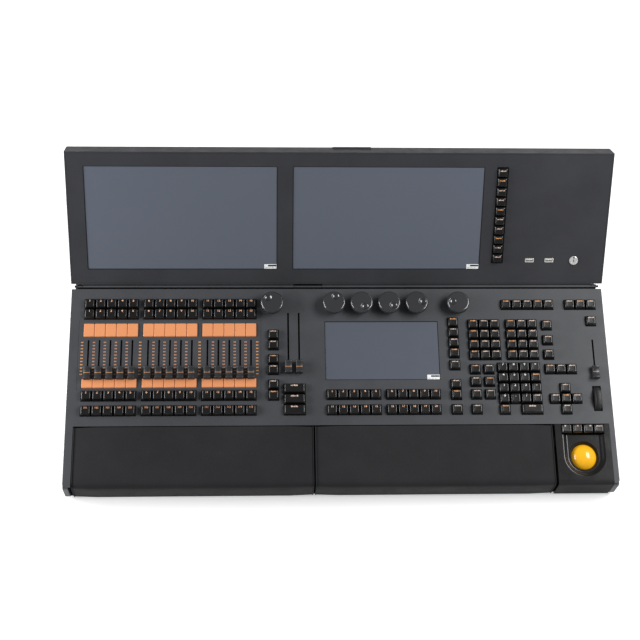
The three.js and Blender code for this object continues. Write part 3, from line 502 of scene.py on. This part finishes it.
def fader_cap(name, u, v):
    """Ribbed saddle-shaped cap with an index line, on a flat stem."""
    shape = bmesh.new()
    half_w, half_l = CAP_WIDTH / 2, CAP_LENGTH / 2
    steps = 18
    rows = []
    for i in range(steps + 1):
        y = -half_l + 0.9 + (CAP_LENGTH - 1.8) * i / steps
        top = cap_height(y)
        rib = 0.22 if i % 2 and abs(y) > 2 else 0
        outline = [(-half_w, CAP_LIFT), (-half_w + 0.7, top - 0.8), (-half_w + 1.5, top - rib),
                   (0, top - 0.12 - rib),
                   (half_w - 1.5, top - rib), (half_w - 0.7, top - 0.8), (half_w, CAP_LIFT)]
        rows.append([(u + x, y - v, z) for x, z in outline])
    for end, y in ((0, -half_l), (-1, half_l)):
        ring = [(x, y - v, min(z, cap_height(y) - 1.2)) for x, _, z in rows[end]]
        rows.insert(0 if end == 0 else len(rows), ring)
    add_loft(shape, rows)
    soft_box(shape, u - 0.8, u + 0.8, -v - 1.7, -v + 1.7, -7, CAP_LIFT + 0.3, 0.3, 0.1)
    soft_box(shape, u - half_w + 0.9, u + half_w - 0.9, -v - 0.3, -v + 0.3, 7.6, 8.46, 0.2, 0.05, 1)
    add_piece(name + "_cap", shape, PANEL, [CAP_PLASTIC, AMBER_INK], name, (name,),
              sharp=50)


for index, fader_u in enumerate(FADER_U):
    fader_cap("executor_fader_%02d" % (index + 1), fader_u, FADER_REST_V)
for fader_name, fader_u in CROSSFADERS.items():
    fader_cap(fader_name, fader_u, CROSSFADER_REST_V)
fader_cap("master_fader", *MASTER)


def slot_liner(shape, u, rest_v, travel):
    """Dark dust strip below a fader slot, split along the middle where the stem runs."""
    y0, y1 = -rest_v - 4, -rest_v + travel + 4
    for side in (-1, 1):
        x0, x1 = sorted((u + side * 1.0, u + side * 5))
        soft_box(shape, x0, x1, y0, y1, -3.9, -3.15, 0.2, 0.05)
    for end in (y0, y1):
        soft_box(shape, u - 5, u + 5, end - 1, end + 1, -4.6, -3.95, 0.3, 0.1)


liners = bmesh.new()
for fader_u in FADER_U:
    slot_liner(liners, fader_u, FADER_REST_V, 60)
for fader_u in CROSSFADERS.values():
    slot_liner(liners, fader_u, CROSSFADER_REST_V, 100)
slot_liner(liners, *MASTER, 60)
add_piece("fader_slot_liners", liners, PANEL, [BLACK_PLASTIC], "desk")


def scale_mark(shape, x, y, ink):
    """One step of a fader's scale: two small printed blocks."""
    for middle in (x - 1.1, x + 1.1):
        soft_box(shape, middle - 0.85, middle + 0.85, y - 1.0, y + 1.0, -0.2, 0.06, 0.3, 0.03, ink, 1)


SCALE_LEFT = [FADER_U[0] - 10.8]
for left, right in zip(FADER_U, FADER_U[1:]):
    SCALE_LEFT.append((left + right) / 2)
SCALE_LEFT.append(FADER_U[-1] + 10.8)
scale_marks = bmesh.new()
for column, scale_u in enumerate(SCALE_LEFT):
    for step in range(11):
        scale_mark(scale_marks, scale_u, -99.6 - 5.85 * step, 0 if column % 5 else 1)
add_piece("fader_scale_marks", scale_marks, PANEL, [SCALE_INK, AMBER_INK], "desk")


# ------------------------------------------------------------------ working frames on other faces

REAR_FACE_Y = 248
FRONT_FACE_Y = -355.8
SHELL_DEPTH = 38


def facing(origin, right, up):
    """Frame in millimetres on a flat face: x and y lie on it, z stands out of it."""
    right, up = Vector(right), Vector(up)
    out = right.cross(up)
    axes = Matrix((right, up, out)).transposed().to_4x4()
    return BASE @ Matrix.Translation(origin) @ axes


REAR = facing((0, REAR_FACE_Y, 0), (-1, 0, 0), (0, 0, 1))
LEFT_SIDE = facing((0, 0, 0), (0, -1, 0), (0, 0, 1))
RIGHT_SIDE = facing((DESK_WIDTH, 0, 0), (0, 1, 0), (0, 0, 1))
UNDERSIDE = facing((0, 0, 4), (1, 0, 0), (0, -1, 0))
SHELL_BACK = FACE @ Matrix.Translation((0, 0, -SHELL_DEPTH)) @ Matrix.Rotation(math.pi, 4, "Y")


def screw(shape, x, y, z=0.0, radius=2.6):
    """Button-head screw with a six-sided socket, standing on z."""
    turned(shape, x, y, [(radius, z - 0.3), (radius, z + 0.35), (radius * 0.9, z + 0.8),
                         (radius * 0.62, z + 1.15), (radius * 0.46, z + 1.2)], 28)
    sides = 6
    rings = [circle(x, y, z + level, radius * 0.44, sides) for level in (0.3, 1.24)]
    add_loft(shape, rings, 1)


def screws(name, space, places, body, radius=2.6):
    shape = bmesh.new()
    for x, y in places:
        screw(shape, x, y, 0.0, radius)
    add_piece(name, shape, space, [DARK_STEEL, BLACK_PLASTIC], body)


def vent_field(name, space, x0, y0, columns, rows, step, body, length=22, width=2.6, paint=None):
    """Field of slots pressed into a sheet: a black mouth, painted shade in place of the open slot, with a
    raised lip along its upper side.
    """
    shape = bmesh.new()
    for row in range(rows):
        for column in range(columns):
            x = x0 + column * (length + 5)
            y = y0 + row * step
            # Black box as painted shade where the slot would open.
            soft_box(shape, x, x + length, y, y + width, -0.25, 0.12, width / 2 - 0.1, 0.08, 1, 5)
            soft_box(shape, x - 0.6, x + length + 0.6, y + width * 0.7, y + width + 1.0,
                     -0.25, 0.9, 0.8, 0.5, 0, 5)
    add_piece(name, shape, space, [paint or PANEL_PAINT, BLACK_PLASTIC], body)


# ------------------------------------------------------------------ encoders

ENCODER_U = [353.9, 463.4, 512.4, 561.4, 610.4, 684.2]
ENCODER_V = 31
KNOB_TOP = 19
DIMPLE = {"offset": 10.2, "radius": 8.5, "depth": 3.2, "edge": 1.0}
DIMPLE_ANGLES = [135, 75, -60, -45, 0, 180]
KNOB_FLAT = 14.0
KNOB_ROLL = 19.9
COLLAR = [(8.5, -0.2), (8.5, 0.25), (8.1, 0.4), (3.6, 0.4), (3.6, -0.2)]
KNOB_SEGMENTS = 120
KNOB_RINGS = 54
KNOB_SIDE = [(16.2, 0.6), (16.3, 1.0), (16.8, 2.6), (18.3, 6.8), (19.7, 10.6), (20.3, 12.2),
             (20.56, 13.2), (20.52, 14.2), (20.2, 15.3)]


def knob_height(r):
    """Nearly flat crown that rolls over toward the rim."""
    edge = max(0.0, (r - KNOB_FLAT) / (KNOB_ROLL - KNOB_FLAT))
    return KNOB_TOP - 0.1 * (r / KNOB_FLAT) ** 2 - 2.7 * edge ** 5


def smooth_low(a, b, width):
    """The lower of two heights, with the crossing rounded over the width."""
    share = max(0.0, min(1.0, 0.5 + (b - a) / (2 * width)))
    return b * (1 - share) + a * share - width * share * (1 - share)


def encoder(number, u, angle):
    """Knob with a finger dimple toward the angle, on a short shaft."""
    shape = bmesh.new()
    y = -ENCODER_V
    dimple_x = DIMPLE["offset"] * math.cos(angle)
    dimple_y = DIMPLE["offset"] * math.sin(angle)
    rings = [circle(u, y, z, r, KNOB_SEGMENTS) for r, z in KNOB_SIDE]
    for step in range(KNOB_RINGS + 1):
        r = max(0.05, KNOB_ROLL * (1 - step / KNOB_RINGS))
        ring = []
        for px, py, _ in circle(0, 0, 0, r, KNOB_SEGMENTS):
            height = knob_height(r)
            away = math.hypot(px - dimple_x, py - dimple_y)
            if away < DIMPLE["radius"]:
                drop = math.sqrt(DIMPLE["radius"] ** 2 - away ** 2)
                bowl = KNOB_TOP + DIMPLE["radius"] - DIMPLE["depth"] - drop
                height = smooth_low(height, bowl, DIMPLE["edge"])
            ring.append((u + px, y + py, height))
        rings.append(ring)
    add_loft(shape, rings)
    turned(shape, u, y, [(3, -9), (3, 0.7)], 32, 1)
    add_piece("encoder_%d_knob" % number, shape, PANEL, [KNOB_PLASTIC, STEEL],
              "encoder_%d" % number, ("encoder_%d" % number,), sharp=50)


collars = bmesh.new()
for number, (knob_u, degrees) in enumerate(zip(ENCODER_U, DIMPLE_ANGLES), 1):
    encoder(number, knob_u, math.radians(degrees))
    turned(collars, knob_u, -ENCODER_V, COLLAR, 48)
add_piece("encoder_collars", collars, PANEL, [BLACK_PLASTIC], "desk")


# ------------------------------------------------------------------ thumb wheel

WHEEL = {"u": 921.7, "v": 205.85, "n": -13, "width": 12.4}


def wheel_point(x, radius, angle):
    """Point of the wheel: x along its axle, then radius and angle about it."""
    return (WHEEL["u"] + x, -WHEEL["v"] + radius * math.cos(angle), WHEEL["n"] + radius * math.sin(angle))


def thumb_wheel():
    """Ribbed tread on a drum, with an axle and a wider boss through it."""
    shape = bmesh.new()
    half = WHEEL["width"] / 2
    ribs = 72
    steps = ribs * 4
    sides = ((-half, 10.0), (-half, 21.0), (-half + 0.3, 22.6), (-half + 1.0, 23.5), (-half + 1.8, 23.9),
             (half - 1.8, 23.9), (half - 1.0, 23.5), (half - 0.3, 22.6), (half, 21.0), (half, 10.0))
    rings = []
    for x, r in sides:
        ring = []
        for i in range(steps):
            angle = 2 * math.pi * i / steps
            rib = 0.6 * (0.5 + 0.5 * math.cos(ribs * angle)) if r > 23.6 else 0.0
            ring.append(wheel_point(x, r + rib, angle))
        rings.append(ring)
    add_loft(shape, rings)
    for x0, x1, r in ((-half - 2.4, half + 2.4, 3.0), (-half - 0.6, half + 0.6, 7.5)):
        rings = []
        for x, radius in ((x0, r - 0.4), (x0 + 0.4, r), (x1 - 0.4, r), (x1, r - 0.4)):
            rings.append([wheel_point(x, radius, 2 * math.pi * i / 40) for i in range(40)])
        add_loft(shape, rings, 1)
    add_piece("thumb_wheel_tread", shape, PANEL, [WHEEL_RUBBER, STEEL], "thumb_wheel",
              ("thumb_wheel",), sharp=55)


thumb_wheel()


# ------------------------------------------------------------------ trackball

BALL = {"u": 891, "v": 308, "n": -23.6, "radius": 25.4}
ball_shape = bmesh.new()
ball_profile = []
for step in range(65):
    angle = math.pi * (step / 64 - 0.5)
    ball_profile.append((BALL["radius"] * math.cos(angle), BALL["n"] + BALL["radius"] * math.sin(angle)))
turned(ball_shape, BALL["u"], -BALL["v"], ball_profile, 96)
add_piece("trackball_resin", ball_shape, PANEL, [BALL_RESIN], "trackball", ("trackball",))

ring_shape = bmesh.new()
ring_profile = [(26.45, -12.5), (26.45, -4.5), (26.2, -4.1), (25.6, -3.95), (25.0, -4.2), (23.6, -6.6),
                (22.2, -9.2), (22.0, -9.8), (22.2, -10.4), (23.65, -12.0), (23.65, -12.5)]
rings = [circle(BALL["u"], -BALL["v"], z, r, 96) for r, z in ring_profile + ring_profile[:1]]
add_loft(ring_shape, rings, 0, False, False)
bmesh.ops.remove_doubles(ring_shape, verts=ring_shape.verts, dist=0.001)
add_piece("trackball_bezel", ring_shape, PANEL, [BLACK_PLASTIC], "desk", ("trackball_ring",))

DISH_DEPTH = 4.5
DISH_FOOT = 27.5
DISH_TOP = 36.5
DISH_BACK_V = 270.6


def dish_section():
    """(radius, height) of the dish wall: a smooth S on top and a straight underside inside the pod."""
    section = []
    for step in range(15):
        share = step / 14
        section.append((DISH_FOOT + (DISH_TOP - DISH_FOOT) * share,
                        DISH_DEPTH * (share * share * (3 - 2 * share) - 1) + 0.03))
    underside = -DISH_DEPTH - 0.4
    return section + [(DISH_TOP - 0.1, -0.4), (DISH_FOOT + 3.2, underside), (DISH_FOOT, underside)]


def dish_wall():
    """U-shaped wall round the ball, open toward the key row."""
    shape = bmesh.new()
    section = dish_section()
    centre_y = -BALL["v"]
    leg = [centre_y + (BALL["v"] - DISH_BACK_V) * step / 6 for step in range(6, 0, -1)]
    rings = [[(BALL["u"] - r, y, z) for r, z in section] for y in leg]
    for step in range(49):
        angle = math.pi * (1 + step / 48)
        rings.append([(BALL["u"] + r * math.cos(angle), centre_y + r * math.sin(angle), z)
                      for r, z in section])
    rings += [[(BALL["u"] + r, y, z) for r, z in section] for y in reversed(leg)]
    add_loft(shape, rings)
    add_piece("trackball_dish_wall", shape, PANEL, [POD_SKIN], "desk", sharp=60)


dish_wall()


# ------------------------------------------------------------------ wrist rests

REST_BACK_V = 252
REST_ROLL_V = 346
REST_WALL = 4
LEFT_REST = (13.9, 424)
CENTER_REST = (426.6, 838.2)
PANEL_BACK_Z = 92
FOOT_HEIGHT = 4


def slope_point(v, n):
    """(y, z) in the BASE frame of a point of the panel's slope."""
    return (-v * math.cos(TILT) - n * math.sin(TILT),
            PANEL_BACK_Z - v * math.sin(TILT) + n * math.cos(TILT))


def rest_outline():
    """Side outline of a rest: top, rolled front, skirt and inside."""
    start = slope_point(REST_ROLL_V, 0)
    corner = (FRONT_FACE_Y, slope_point(-FRONT_FACE_Y / math.cos(TILT), 0)[1])
    end = (FRONT_FACE_Y, corner[1] - 10)
    points = [slope_point(REST_BACK_V + 0.3, -0.9), slope_point(REST_BACK_V + 0.9, -0.25),
              slope_point(REST_BACK_V + 2, 0)]
    points += [slope_point(REST_BACK_V + 2 + (REST_ROLL_V - REST_BACK_V - 2) * i / 12, 0)
               for i in range(1, 12)]
    for i in range(13):
        t = i / 12
        points.append(tuple((1 - t) ** 2 * start[k] + 2 * t * (1 - t) * corner[k] + t * t * end[k]
                            for k in (0, 1)))
    bottom = FOOT_HEIGHT + 0.5
    points += [(FRONT_FACE_Y, bottom + 0.8), (FRONT_FACE_Y + 0.8, bottom), (FRONT_FACE_Y + 2.9, bottom)]
    inner = end[1] - 2
    points += [(FRONT_FACE_Y + 2.9, inner), slope_point(REST_ROLL_V, -REST_WALL + 0.1),
               slope_point(REST_BACK_V + 0.3, -REST_WALL + 0.1)]
    return points


def offset_outline(points, amount):
    """Moves each point of a closed outline inward along the mean of its two edges' normals."""
    moved = []
    for i, point in enumerate(points):
        before, after = Vector(points[i - 1]), Vector(points[(i + 1) % len(points)])
        here = Vector(point)
        a = (here - before).normalized()
        b = (after - here).normalized()
        normal = Vector((-(a.y + b.y), a.x + b.x))
        if normal.length:
            normal.normalize()
        moved.append(tuple(here + normal * amount))
    return moved


def wrist_rest(name, u0, u1):
    """Rest swept between two u places, with rounded ends."""
    shape = bmesh.new()
    outline = rest_outline()
    edge = 1.5
    rounding = [(edge * (1 - math.sin(angle)), edge * (1 - math.cos(angle)))
                for angle in [math.radians(step) for step in (90, 67.5, 45, 22.5, 0)]]
    stations = [(u0 + along, inset) for inset, along in rounding]
    stations += [(u0 + (u1 - u0) * i / 10, 0.0) for i in range(1, 10)]
    stations += [(u1 - along, inset) for inset, along in reversed(rounding)]
    rings = []
    for u, inset in stations:
        section = offset_outline(outline, inset) if inset else outline
        rings.append([(u, y, z) for y, z in section])
    add_loft(shape, rings)
    add_piece(name + "_pad", shape, BASE, [REST_SKIN], "desk", (name,), sharp=60)


wrist_rest("left_wrist_rest", *LEFT_REST)
wrist_rest("center_wrist_rest", *CENTER_REST)


# ------------------------------------------------------------------ screens

SCREENS = {
    "left_touchscreen": (FACE, (29.6, 363.1), (27.2, 214.8), "screen_housing"),
    "right_touchscreen": (FACE, (389.8, 723.3), (27.2, 214.8), "screen_housing"),
    "center_touchscreen": (PANEL, (446.2, 647.6), (-170.2, -61.6), "desk"),
}


def frame_strip(shape, x0, x1, y0, y1, width, z0, z1, material=0):
    """Thin mitred frame inside a rectangle, with a rounded top."""
    outer = round_rect(x0, x1, y0, y1, 0, 1.0)
    inner = round_rect(x0 + width, x1 - width, y0 + width, y1 - width, 0, 0.6)
    rings = []
    for share, z in ((0.0, z0), (0.0, z1 - 0.15), (0.2, z1), (0.8, z1), (1.0, z1 - 0.15), (1.0, z0)):
        rings.append([(a[0] + (b[0] - a[0]) * share, a[1] + (b[1] - a[1]) * share, z)
                      for a, b in zip(outer, inner)])
    rings.append(rings[0])
    add_loft(shape, rings, material, False, False)
    bmesh.ops.remove_doubles(shape, verts=shape.verts, dist=0.0005)


for screen_name, (space, (x0, x1), (y0, y1), owner) in SCREENS.items():
    glass_top = -0.8 if owner == "desk" else -1.0
    # Near-black gasket round the glass; its dark band also stands in for the shade in the screen's recess.
    trim = bmesh.new()
    frame_strip(trim, x0 + 0.1, x1 - 0.1, y0 + 0.1, y1 - 0.1, 1.3, -3.4, glass_top + 0.12)
    add_piece(screen_name + "_gasket_and_recess_shade", trim, space, [SCREEN_EDGE], owner)
    label = bmesh.new()
    label_x, label_y = x1 - 11.9, y0 + 5.0
    low, high = glass_top - 0.05, glass_top + 0.12
    soft_box(label, label_x - 11, label_x + 11, label_y - 4.3, label_y + 4.4, low, high, 0.6, 0.05, 0)
    soft_box(label, label_x - 4.4, label_x + 10.4, label_y + 0.4, label_y + 3.2, low, high + 0.04,
             0.5, 0.03, 1)
    for mark in range(3):
        mark_x = label_x - 8.6 + mark * 5.4
        soft_box(label, mark_x, mark_x + 3.4, label_y - 2.4, label_y - 1.7, low, high + 0.04,
                 0.2, 0.03, 2)
    add_piece(screen_name + "_blank_label", label, space, [LABEL_PAPER, BLACK_PLASTIC, STEEL], owner)


# ------------------------------------------------------------------ housing face details

USB_CENTRES_U = (812.9, 848)
USB_W = 44.5
LOCK = (892.4, 44.2)

key_frame = bmesh.new()
frame_strip(key_frame, 744.3, 765.1, 38.7, 215.0, 0.8, -0.4, 0.35)
add_piece("screen_key_surround", key_frame, FACE, [BLACK_PLASTIC], "screen_housing")

sockets = bmesh.new()
for usb_u in USB_CENTRES_U:
    frame_strip(sockets, usb_u - 7.9, usb_u + 7.9, USB_W - 3.7, USB_W + 3.7, 1.1, -0.5, 0.9, 0)
    soft_box(sockets, usb_u - 5.6, usb_u + 5.6, USB_W + 0.1, USB_W + 1.8, -11, -0.2, 0.2, 0.1, 1)
    soft_box(sockets, usb_u - 6.2, usb_u + 6.2, USB_W - 2.2, USB_W + 2.2, -11.2, -10.6, 0.2, 0.1, 2)
    for contact in range(4):
        x = usb_u - 3.6 + contact * 2.4
        soft_box(sockets, x - 0.45, x + 0.45, USB_W - 0.15, USB_W + 0.12, -10, -1.4, 0.05, 0.02, 3)
add_piece("usb_socket_details", sockets, FACE, [CHROME, WHITE_INK, BLACK_PLASTIC, BRASS],
          "screen_housing")

BARREL = [(7.0, -19.8), (7.0, -4), (7.75, -4), (7.75, 1.1), (7.55, 1.7), (7.0, 2.0), (5.7, 2.05),
          (5.5, 1.75), (5.3, 1.75), (5.1, 2.0)]
lock_face = bmesh.new()
lock_u, lock_w = LOCK
turned(lock_face, lock_u, lock_w, BARREL, 64, 0)
soft_box(lock_face, lock_u - 0.6, lock_u + 0.6, lock_w - 2.6, lock_w + 2.6, 1.4, 2.12, 0.4, 0.04, 1)
soft_box(lock_face, lock_u - 1.4, lock_u + 1.4, lock_w + 4.4, lock_w + 7.1, 1.2, 2.14, 0.9, 0.04, 1)
add_piece("key_lock_barrel", lock_face, FACE, [CHROME, BLACK_PLASTIC], "key_lock", ("key_lock",))


# ------------------------------------------------------------------ screws and vents

DECK_TOP = BASE @ Matrix.Translation((0, 0, 50))
screws("rear_deck_screws", DECK_TOP,
       [(x, y) for y in (16, 228) for x in range(30, DESK_WIDTH, 148)], "desk")
screws("rear_plate_screws", REAR,
       [(-x, z) for z in (11, 45) for x in (20, 160, 330, 640, 780, 927)], "desk", 2.0)
screws("left_side_screws", LEFT_SIDE, [(-y, 26) for y in (-300, -180, -60, 60, 200)], "desk", 3.2)
screws("right_side_screws", RIGHT_SIDE, [(y, 26) for y in (-300, -180, -60, 60, 200)], "desk", 3.2)
screws("underside_screws", UNDERSIDE,
       [(x, -y) for y in (-300, -100, 100, 200) for x in (30, 325, 620, 917)], "desk", 3.0)
screws("shell_screws", SHELL_BACK,
       [(-x, w) for w in (18, 212) for x in range(20, DESK_WIDTH, 151)], "screen_housing")
vent_field("rear_deck_vents", DECK_TOP, 330, 170, 11, 4, 8, "desk")
vent_field("shell_vents_left", SHELL_BACK, -380, 120, 10, 8, 8, "screen_housing", paint=HOUSING_PAINT)
vent_field("shell_vents_right", SHELL_BACK, -840, 120, 10, 8, 8, "screen_housing", paint=HOUSING_PAINT)
vent_field("underside_vents", UNDERSIDE, 330, -20, 10, 6, 9, "desk")


# ------------------------------------------------------------------ rear connectors

SOCKET_Z = 27
POCKET = -6.9
OUTPUT_U = (440, 480, 520, 560)
NETWORK_U = (700, 724)
DATA_U = (220, 246)
INLET_U = 860


def circle_like(x, y, z, radius, count):
    """Circle whose points match the start and number of a rounded rectangle's points."""
    return [(x + radius * math.cos(2 * math.pi * (i + 0.5) / count),
             y + radius * math.sin(2 * math.pi * (i + 0.5) / count), z) for i in range(count)]


def round_output(shape, x):
    """Round five-way lighting output: flange, ring, insert with five holes, latch and two screws."""
    flange = [round_rect(x - 13, x + 13, SOCKET_Z - 15.5, SOCKET_Z + 15.5, z, 2.2)
              for z in (0.0, 0.9, 1.1)]
    hole = [circle_like(x, SOCKET_Z, z, 11.2, len(flange[0])) for z in (1.1, 0.0)]
    add_loft(shape, flange + hole + flange[:1], 0, False, False)
    ring = [(11.1, -6.9), (11.1, 1.5), (10.7, 1.9), (10.1, 1.9), (9.8, 1.5), (9.8, -6.9)]
    add_loft(shape, [circle(x, SOCKET_Z, z, r, 56) for r, z in ring + ring[:1]], 0, False, False)
    turned(shape, x, SOCKET_Z, [(9.7, POCKET), (9.7, -1.6), (9.2, -1.2), (0.5, -1.2)], 56, 1)
    for pin in range(5):
        angle = math.radians(90 + 36 * (pin - 2) + 180)
        px, py = x + 5.6 * math.cos(angle), SOCKET_Z + 5.6 * math.sin(angle)
        turned(shape, px, py, [(1.35, -1.3), (1.35, -1.0), (1.1, -0.9), (0.7, -0.9)], 20, 2)
    soft_box(shape, x - 2.4, x + 2.4, SOCKET_Z + 9.0, SOCKET_Z + 12.6, 0.4, 2.4, 0.7, 0.3, 0)
    for side in (-1, 1):
        screw(shape, x + side * 10, SOCKET_Z - side * 12.4, 1.0, 1.6)


outputs = bmesh.new()
for socket_u in OUTPUT_U:
    round_output(outputs, -socket_u)
bmesh.ops.remove_doubles(outputs, verts=outputs.verts, dist=0.0005)
add_piece("lighting_outputs", outputs, REAR, [CHROME, BLACK_PLASTIC, BRASS], "desk")

network = bmesh.new()
for socket_u in NETWORK_U:
    x = -socket_u
    frame_strip(network, x - 8.2, x + 8.2, SOCKET_Z - 8.2, SOCKET_Z + 8.2, 1.6, -0.4, 0.8, 0)
    soft_box(network, x - 6.8, x + 6.8, SOCKET_Z - 6.8, SOCKET_Z + 6.8, POCKET, POCKET + 0.5,
             0.4, 0.1, 1)
    soft_box(network, x - 3.2, x + 3.2, SOCKET_Z - 6.9, SOCKET_Z - 4.2, POCKET, -0.6, 0.3, 0.1, 1)
    for contact in range(8):
        cx = x - 3.57 + contact * 1.02
        soft_box(network, cx - 0.28, cx + 0.28, SOCKET_Z + 1.5, SOCKET_Z + 6.2, POCKET, -3.4,
                 0.1, 0.05, 2)
    for lamp_x in (x - 5.2, x + 5.2):
        soft_box(network, lamp_x - 1.2, lamp_x + 1.2, SOCKET_Z + 5.0, SOCKET_Z + 6.8,
                 -3, -0.2, 0.3, 0.1, 3)
add_piece("network_sockets", network, REAR, [CHROME, BLACK_PLASTIC, BRASS, AMBER_INK], "desk")

data_ports = bmesh.new()
for socket_u in DATA_U:
    x = -socket_u
    frame_strip(data_ports, x - 7.6, x + 7.6, SOCKET_Z - 4.1, SOCKET_Z + 4.1, 1.3, -0.4, 0.7, 0)
    soft_box(data_ports, x - 5.4, x + 5.4, SOCKET_Z + 0.2, SOCKET_Z + 1.9, POCKET, -0.6, 0.2, 0.1, 1)
add_piece("data_ports", data_ports, REAR, [CHROME, WHITE_INK], "desk")

inlet = bmesh.new()
inlet_x = -INLET_U
frame_strip(inlet, inlet_x - 17, inlet_x + 17, SOCKET_Z - 13, SOCKET_Z + 13, 3.4, -0.3, 1.6, 0)
soft_box(inlet, inlet_x - 13.8, inlet_x + 13.8, SOCKET_Z - 10.3, SOCKET_Z + 10.3,
         POCKET, POCKET + 0.5, 2, 0.2, 0)
for pin_x, pin_z in ((-7, -1.5), (0, 2.5), (7, -1.5)):
    x, z = inlet_x + pin_x, SOCKET_Z + pin_z
    soft_box(inlet, x - 1, x + 1, z - 2.4, z + 2.4, POCKET, -0.5, 0.3, 0.4, 1)
soft_box(inlet, inlet_x + 22, inlet_x + 36, SOCKET_Z - 10.5, SOCKET_Z + 10.5, -0.3, 1.4, 1.5, 0.5, 0)
soft_box(inlet, inlet_x + 24, inlet_x + 34, SOCKET_Z - 8, SOCKET_Z + 8, 0, 3.2, 1.0, 0.9, 2)
add_piece("mains_inlet", inlet, REAR, [BLACK_PLASTIC, CHROME, RUBBER], "desk")


# ------------------------------------------------------------------ feet

for foot_name, foot_y in (("front_foot", -327), ("rear_foot", 223)):
    foot = bmesh.new()
    soft_box(foot, 60, 887, -foot_y - 9, -foot_y + 9, 0.3, 2.6, 2.0, 0.6, 0, 5)
    for rib in (-5.5, 0, 5.5):
        soft_box(foot, 64, 883, -foot_y + rib - 1.6, -foot_y + rib + 1.6, 2.2, 3.99, 1.5, 0.7, 0, 5)
    add_piece(foot_name + "_strip", foot, UNDERSIDE, [RUBBER], "desk", (foot_name,))


# ------------------------------------------------------------------ carried CAD nodes

def soften(carried, width, segments=2):
    """Rounds the crisp edges of a carried node without moving its faces."""
    rounding = carried.modifiers.new("edge_rounding", "BEVEL")
    rounding.width = width * MM
    rounding.segments = segments
    rounding.limit_method = "ANGLE"
    rounding.angle_limit = math.radians(32)
    rounding.harden_normals = True
    carried.data.shade_smooth()
    carried.data.set_sharp_from_angle(angle=math.radians(32))


CARRIED = {
    "base_tray": (PANEL_PAINT, 1.0), "control_panel": (PANEL_PAINT, 0.4), "fader_panel": (PANEL_PAINT, 0.3),
    "rear_deck": (PANEL_PAINT, 0.6), "hinge_rod": (STEEL, 0.3), "rear_connector_panel": (HOUSING_PAINT, 0.5),
    "trackball_pod": (POD_SKIN, 2.4), "center_touchscreen": (CENTER_GLASS, 0.3),
    "left_touchscreen": (SCREEN_GLASS, 0.3), "right_touchscreen": (SCREEN_GLASS, 0.3),
    "screen_front_panel": (HOUSING_PAINT, 0.3), "screen_rear_shell": (HOUSING_PAINT, 0.9),
    "usb_socket_pair": (CHROME, 0.2), "main_board": (BOARD, 0.3), "power_supply": (STEEL, 0.5),
}
HINGE = (-6.06, -2.8)
KNUCKLE_REACH = 4.4
# Bearing faces turned toward this up-front direction get panel paint as a painted highlight.
HINGE_HIGHLIGHT_AIM = Vector((0, -0.42, 0.907))


def is_knuckle(centre):
    """True for a face centre that lies on the bearings about the hinge axis."""
    local = FACE.inverted() @ centre
    return math.hypot(local.y - HINGE[0], local.z - HINGE[1]) < KNUCKLE_REACH


def hinge_surface(face):
    """Material index on a hinge part: 0 its own paint, 1 black bearing, also standing in for shade about the
    hinge, 2 a painted highlight of panel paint on the bearing's crown.
    """
    if not is_knuckle(face.center):
        return 0
    return 2 if face.normal.dot(HINGE_HIGHLIGHT_AIM) > 0.96 else 1


for name, (surface, edge_width) in CARRIED.items():
    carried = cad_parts[name]
    carried.data.materials.clear()
    carried.data.materials.append(surface)
    # On the hinge parts the bearings are painted black, partly as shade about the hinge, with a painted
    # highlight of panel paint along their crown.
    if name in ("screen_rear_shell", "rear_deck", "hinge_rod"):
        carried.data.materials.append(HINGE_BLACK)
        carried.data.materials.append(PANEL_PAINT)
        for face in carried.data.polygons:
            face.material_index = hinge_surface(face)
    if name == "trackball_pod":
        carried.data.materials.append(REST_SKIN)
        for face in carried.data.polygons:
            face.material_index = int(face.normal.y < -0.5)
    soften(carried, edge_width)


# ------------------------------------------------------------------ camera, floor and light

CAMERA_SPOT = (-0.1425, -1.0159, 2.1675)
CAMERA_TURN = (25.91, -2.66, -0.11)
CAMERA_LENS = 73.63

camera = bpy.data.cameras.new("camera")
camera.lens = CAMERA_LENS
camera.sensor_width = 36
viewpoint = bpy.data.objects.new("camera", camera)
viewpoint.location = CAMERA_SPOT
viewpoint.rotation_mode = "ZYX"
viewpoint.rotation_euler = [math.radians(angle) for angle in CAMERA_TURN]
bpy.context.scene.collection.objects.link(viewpoint)
bpy.context.scene.camera = viewpoint
bpy.context.scene.view_settings.view_transform = "Standard"

floor_shape = bmesh.new()
bmesh.ops.create_grid(floor_shape, x_segments=1, y_segments=1, size=6)
floor_mesh = bpy.data.meshes.new("floor")
floor_shape.to_mesh(floor_mesh)
floor_shape.free()
floor_paint = bpy.data.materials.new("floor_paint")
floor_paint.use_nodes = True
floor_shader = floor_paint.node_tree.nodes["Principled BSDF"]
floor_shader.inputs["Base Color"].default_value = (0.9, 0.9, 0.9, 1)
floor_shader.inputs["Roughness"].default_value = 0.9
floor_shader.inputs["Specular IOR Level"].default_value = 0.0
floor_shader.inputs["Emission Color"].default_value = (1, 1, 1, 1)
floor_shader.inputs["Emission Strength"].default_value = 0.35
floor_mesh.materials.append(floor_paint)
floor = bpy.data.objects.new("floor", floor_mesh)
bpy.context.scene.collection.objects.link(floor)

world = bpy.data.worlds.new("studio")
world.use_nodes = True
world.node_tree.nodes["Background"].inputs["Color"].default_value = (1, 1, 1, 1)
world.node_tree.nodes["Background"].inputs["Strength"].default_value = 0.2
bpy.context.scene.world = world


def softbox(name, spot, aim, size, power):
    """Rectangular lamp at a spot, turned to its aim."""
    lamp = bpy.data.lights.new(name, "AREA")
    lamp.shape = "RECTANGLE"
    lamp.size, lamp.size_y = size
    lamp.energy = power
    holder = bpy.data.objects.new(name, lamp)
    holder.location = spot
    holder.rotation_euler = (Vector(aim) - Vector(spot)).to_track_quat("-Z", "Y").to_euler()
    bpy.context.scene.collection.objects.link(holder)


softbox("right_light", (1.33, 0.05, 1.32), (0.3, 0.0, 0.05), (1.2, 0.65), 30)
softbox("left_light", (-1.61, -0.05, 0.62), (-0.3, 0.0, 0.05), (1.2, 0.6), 32)
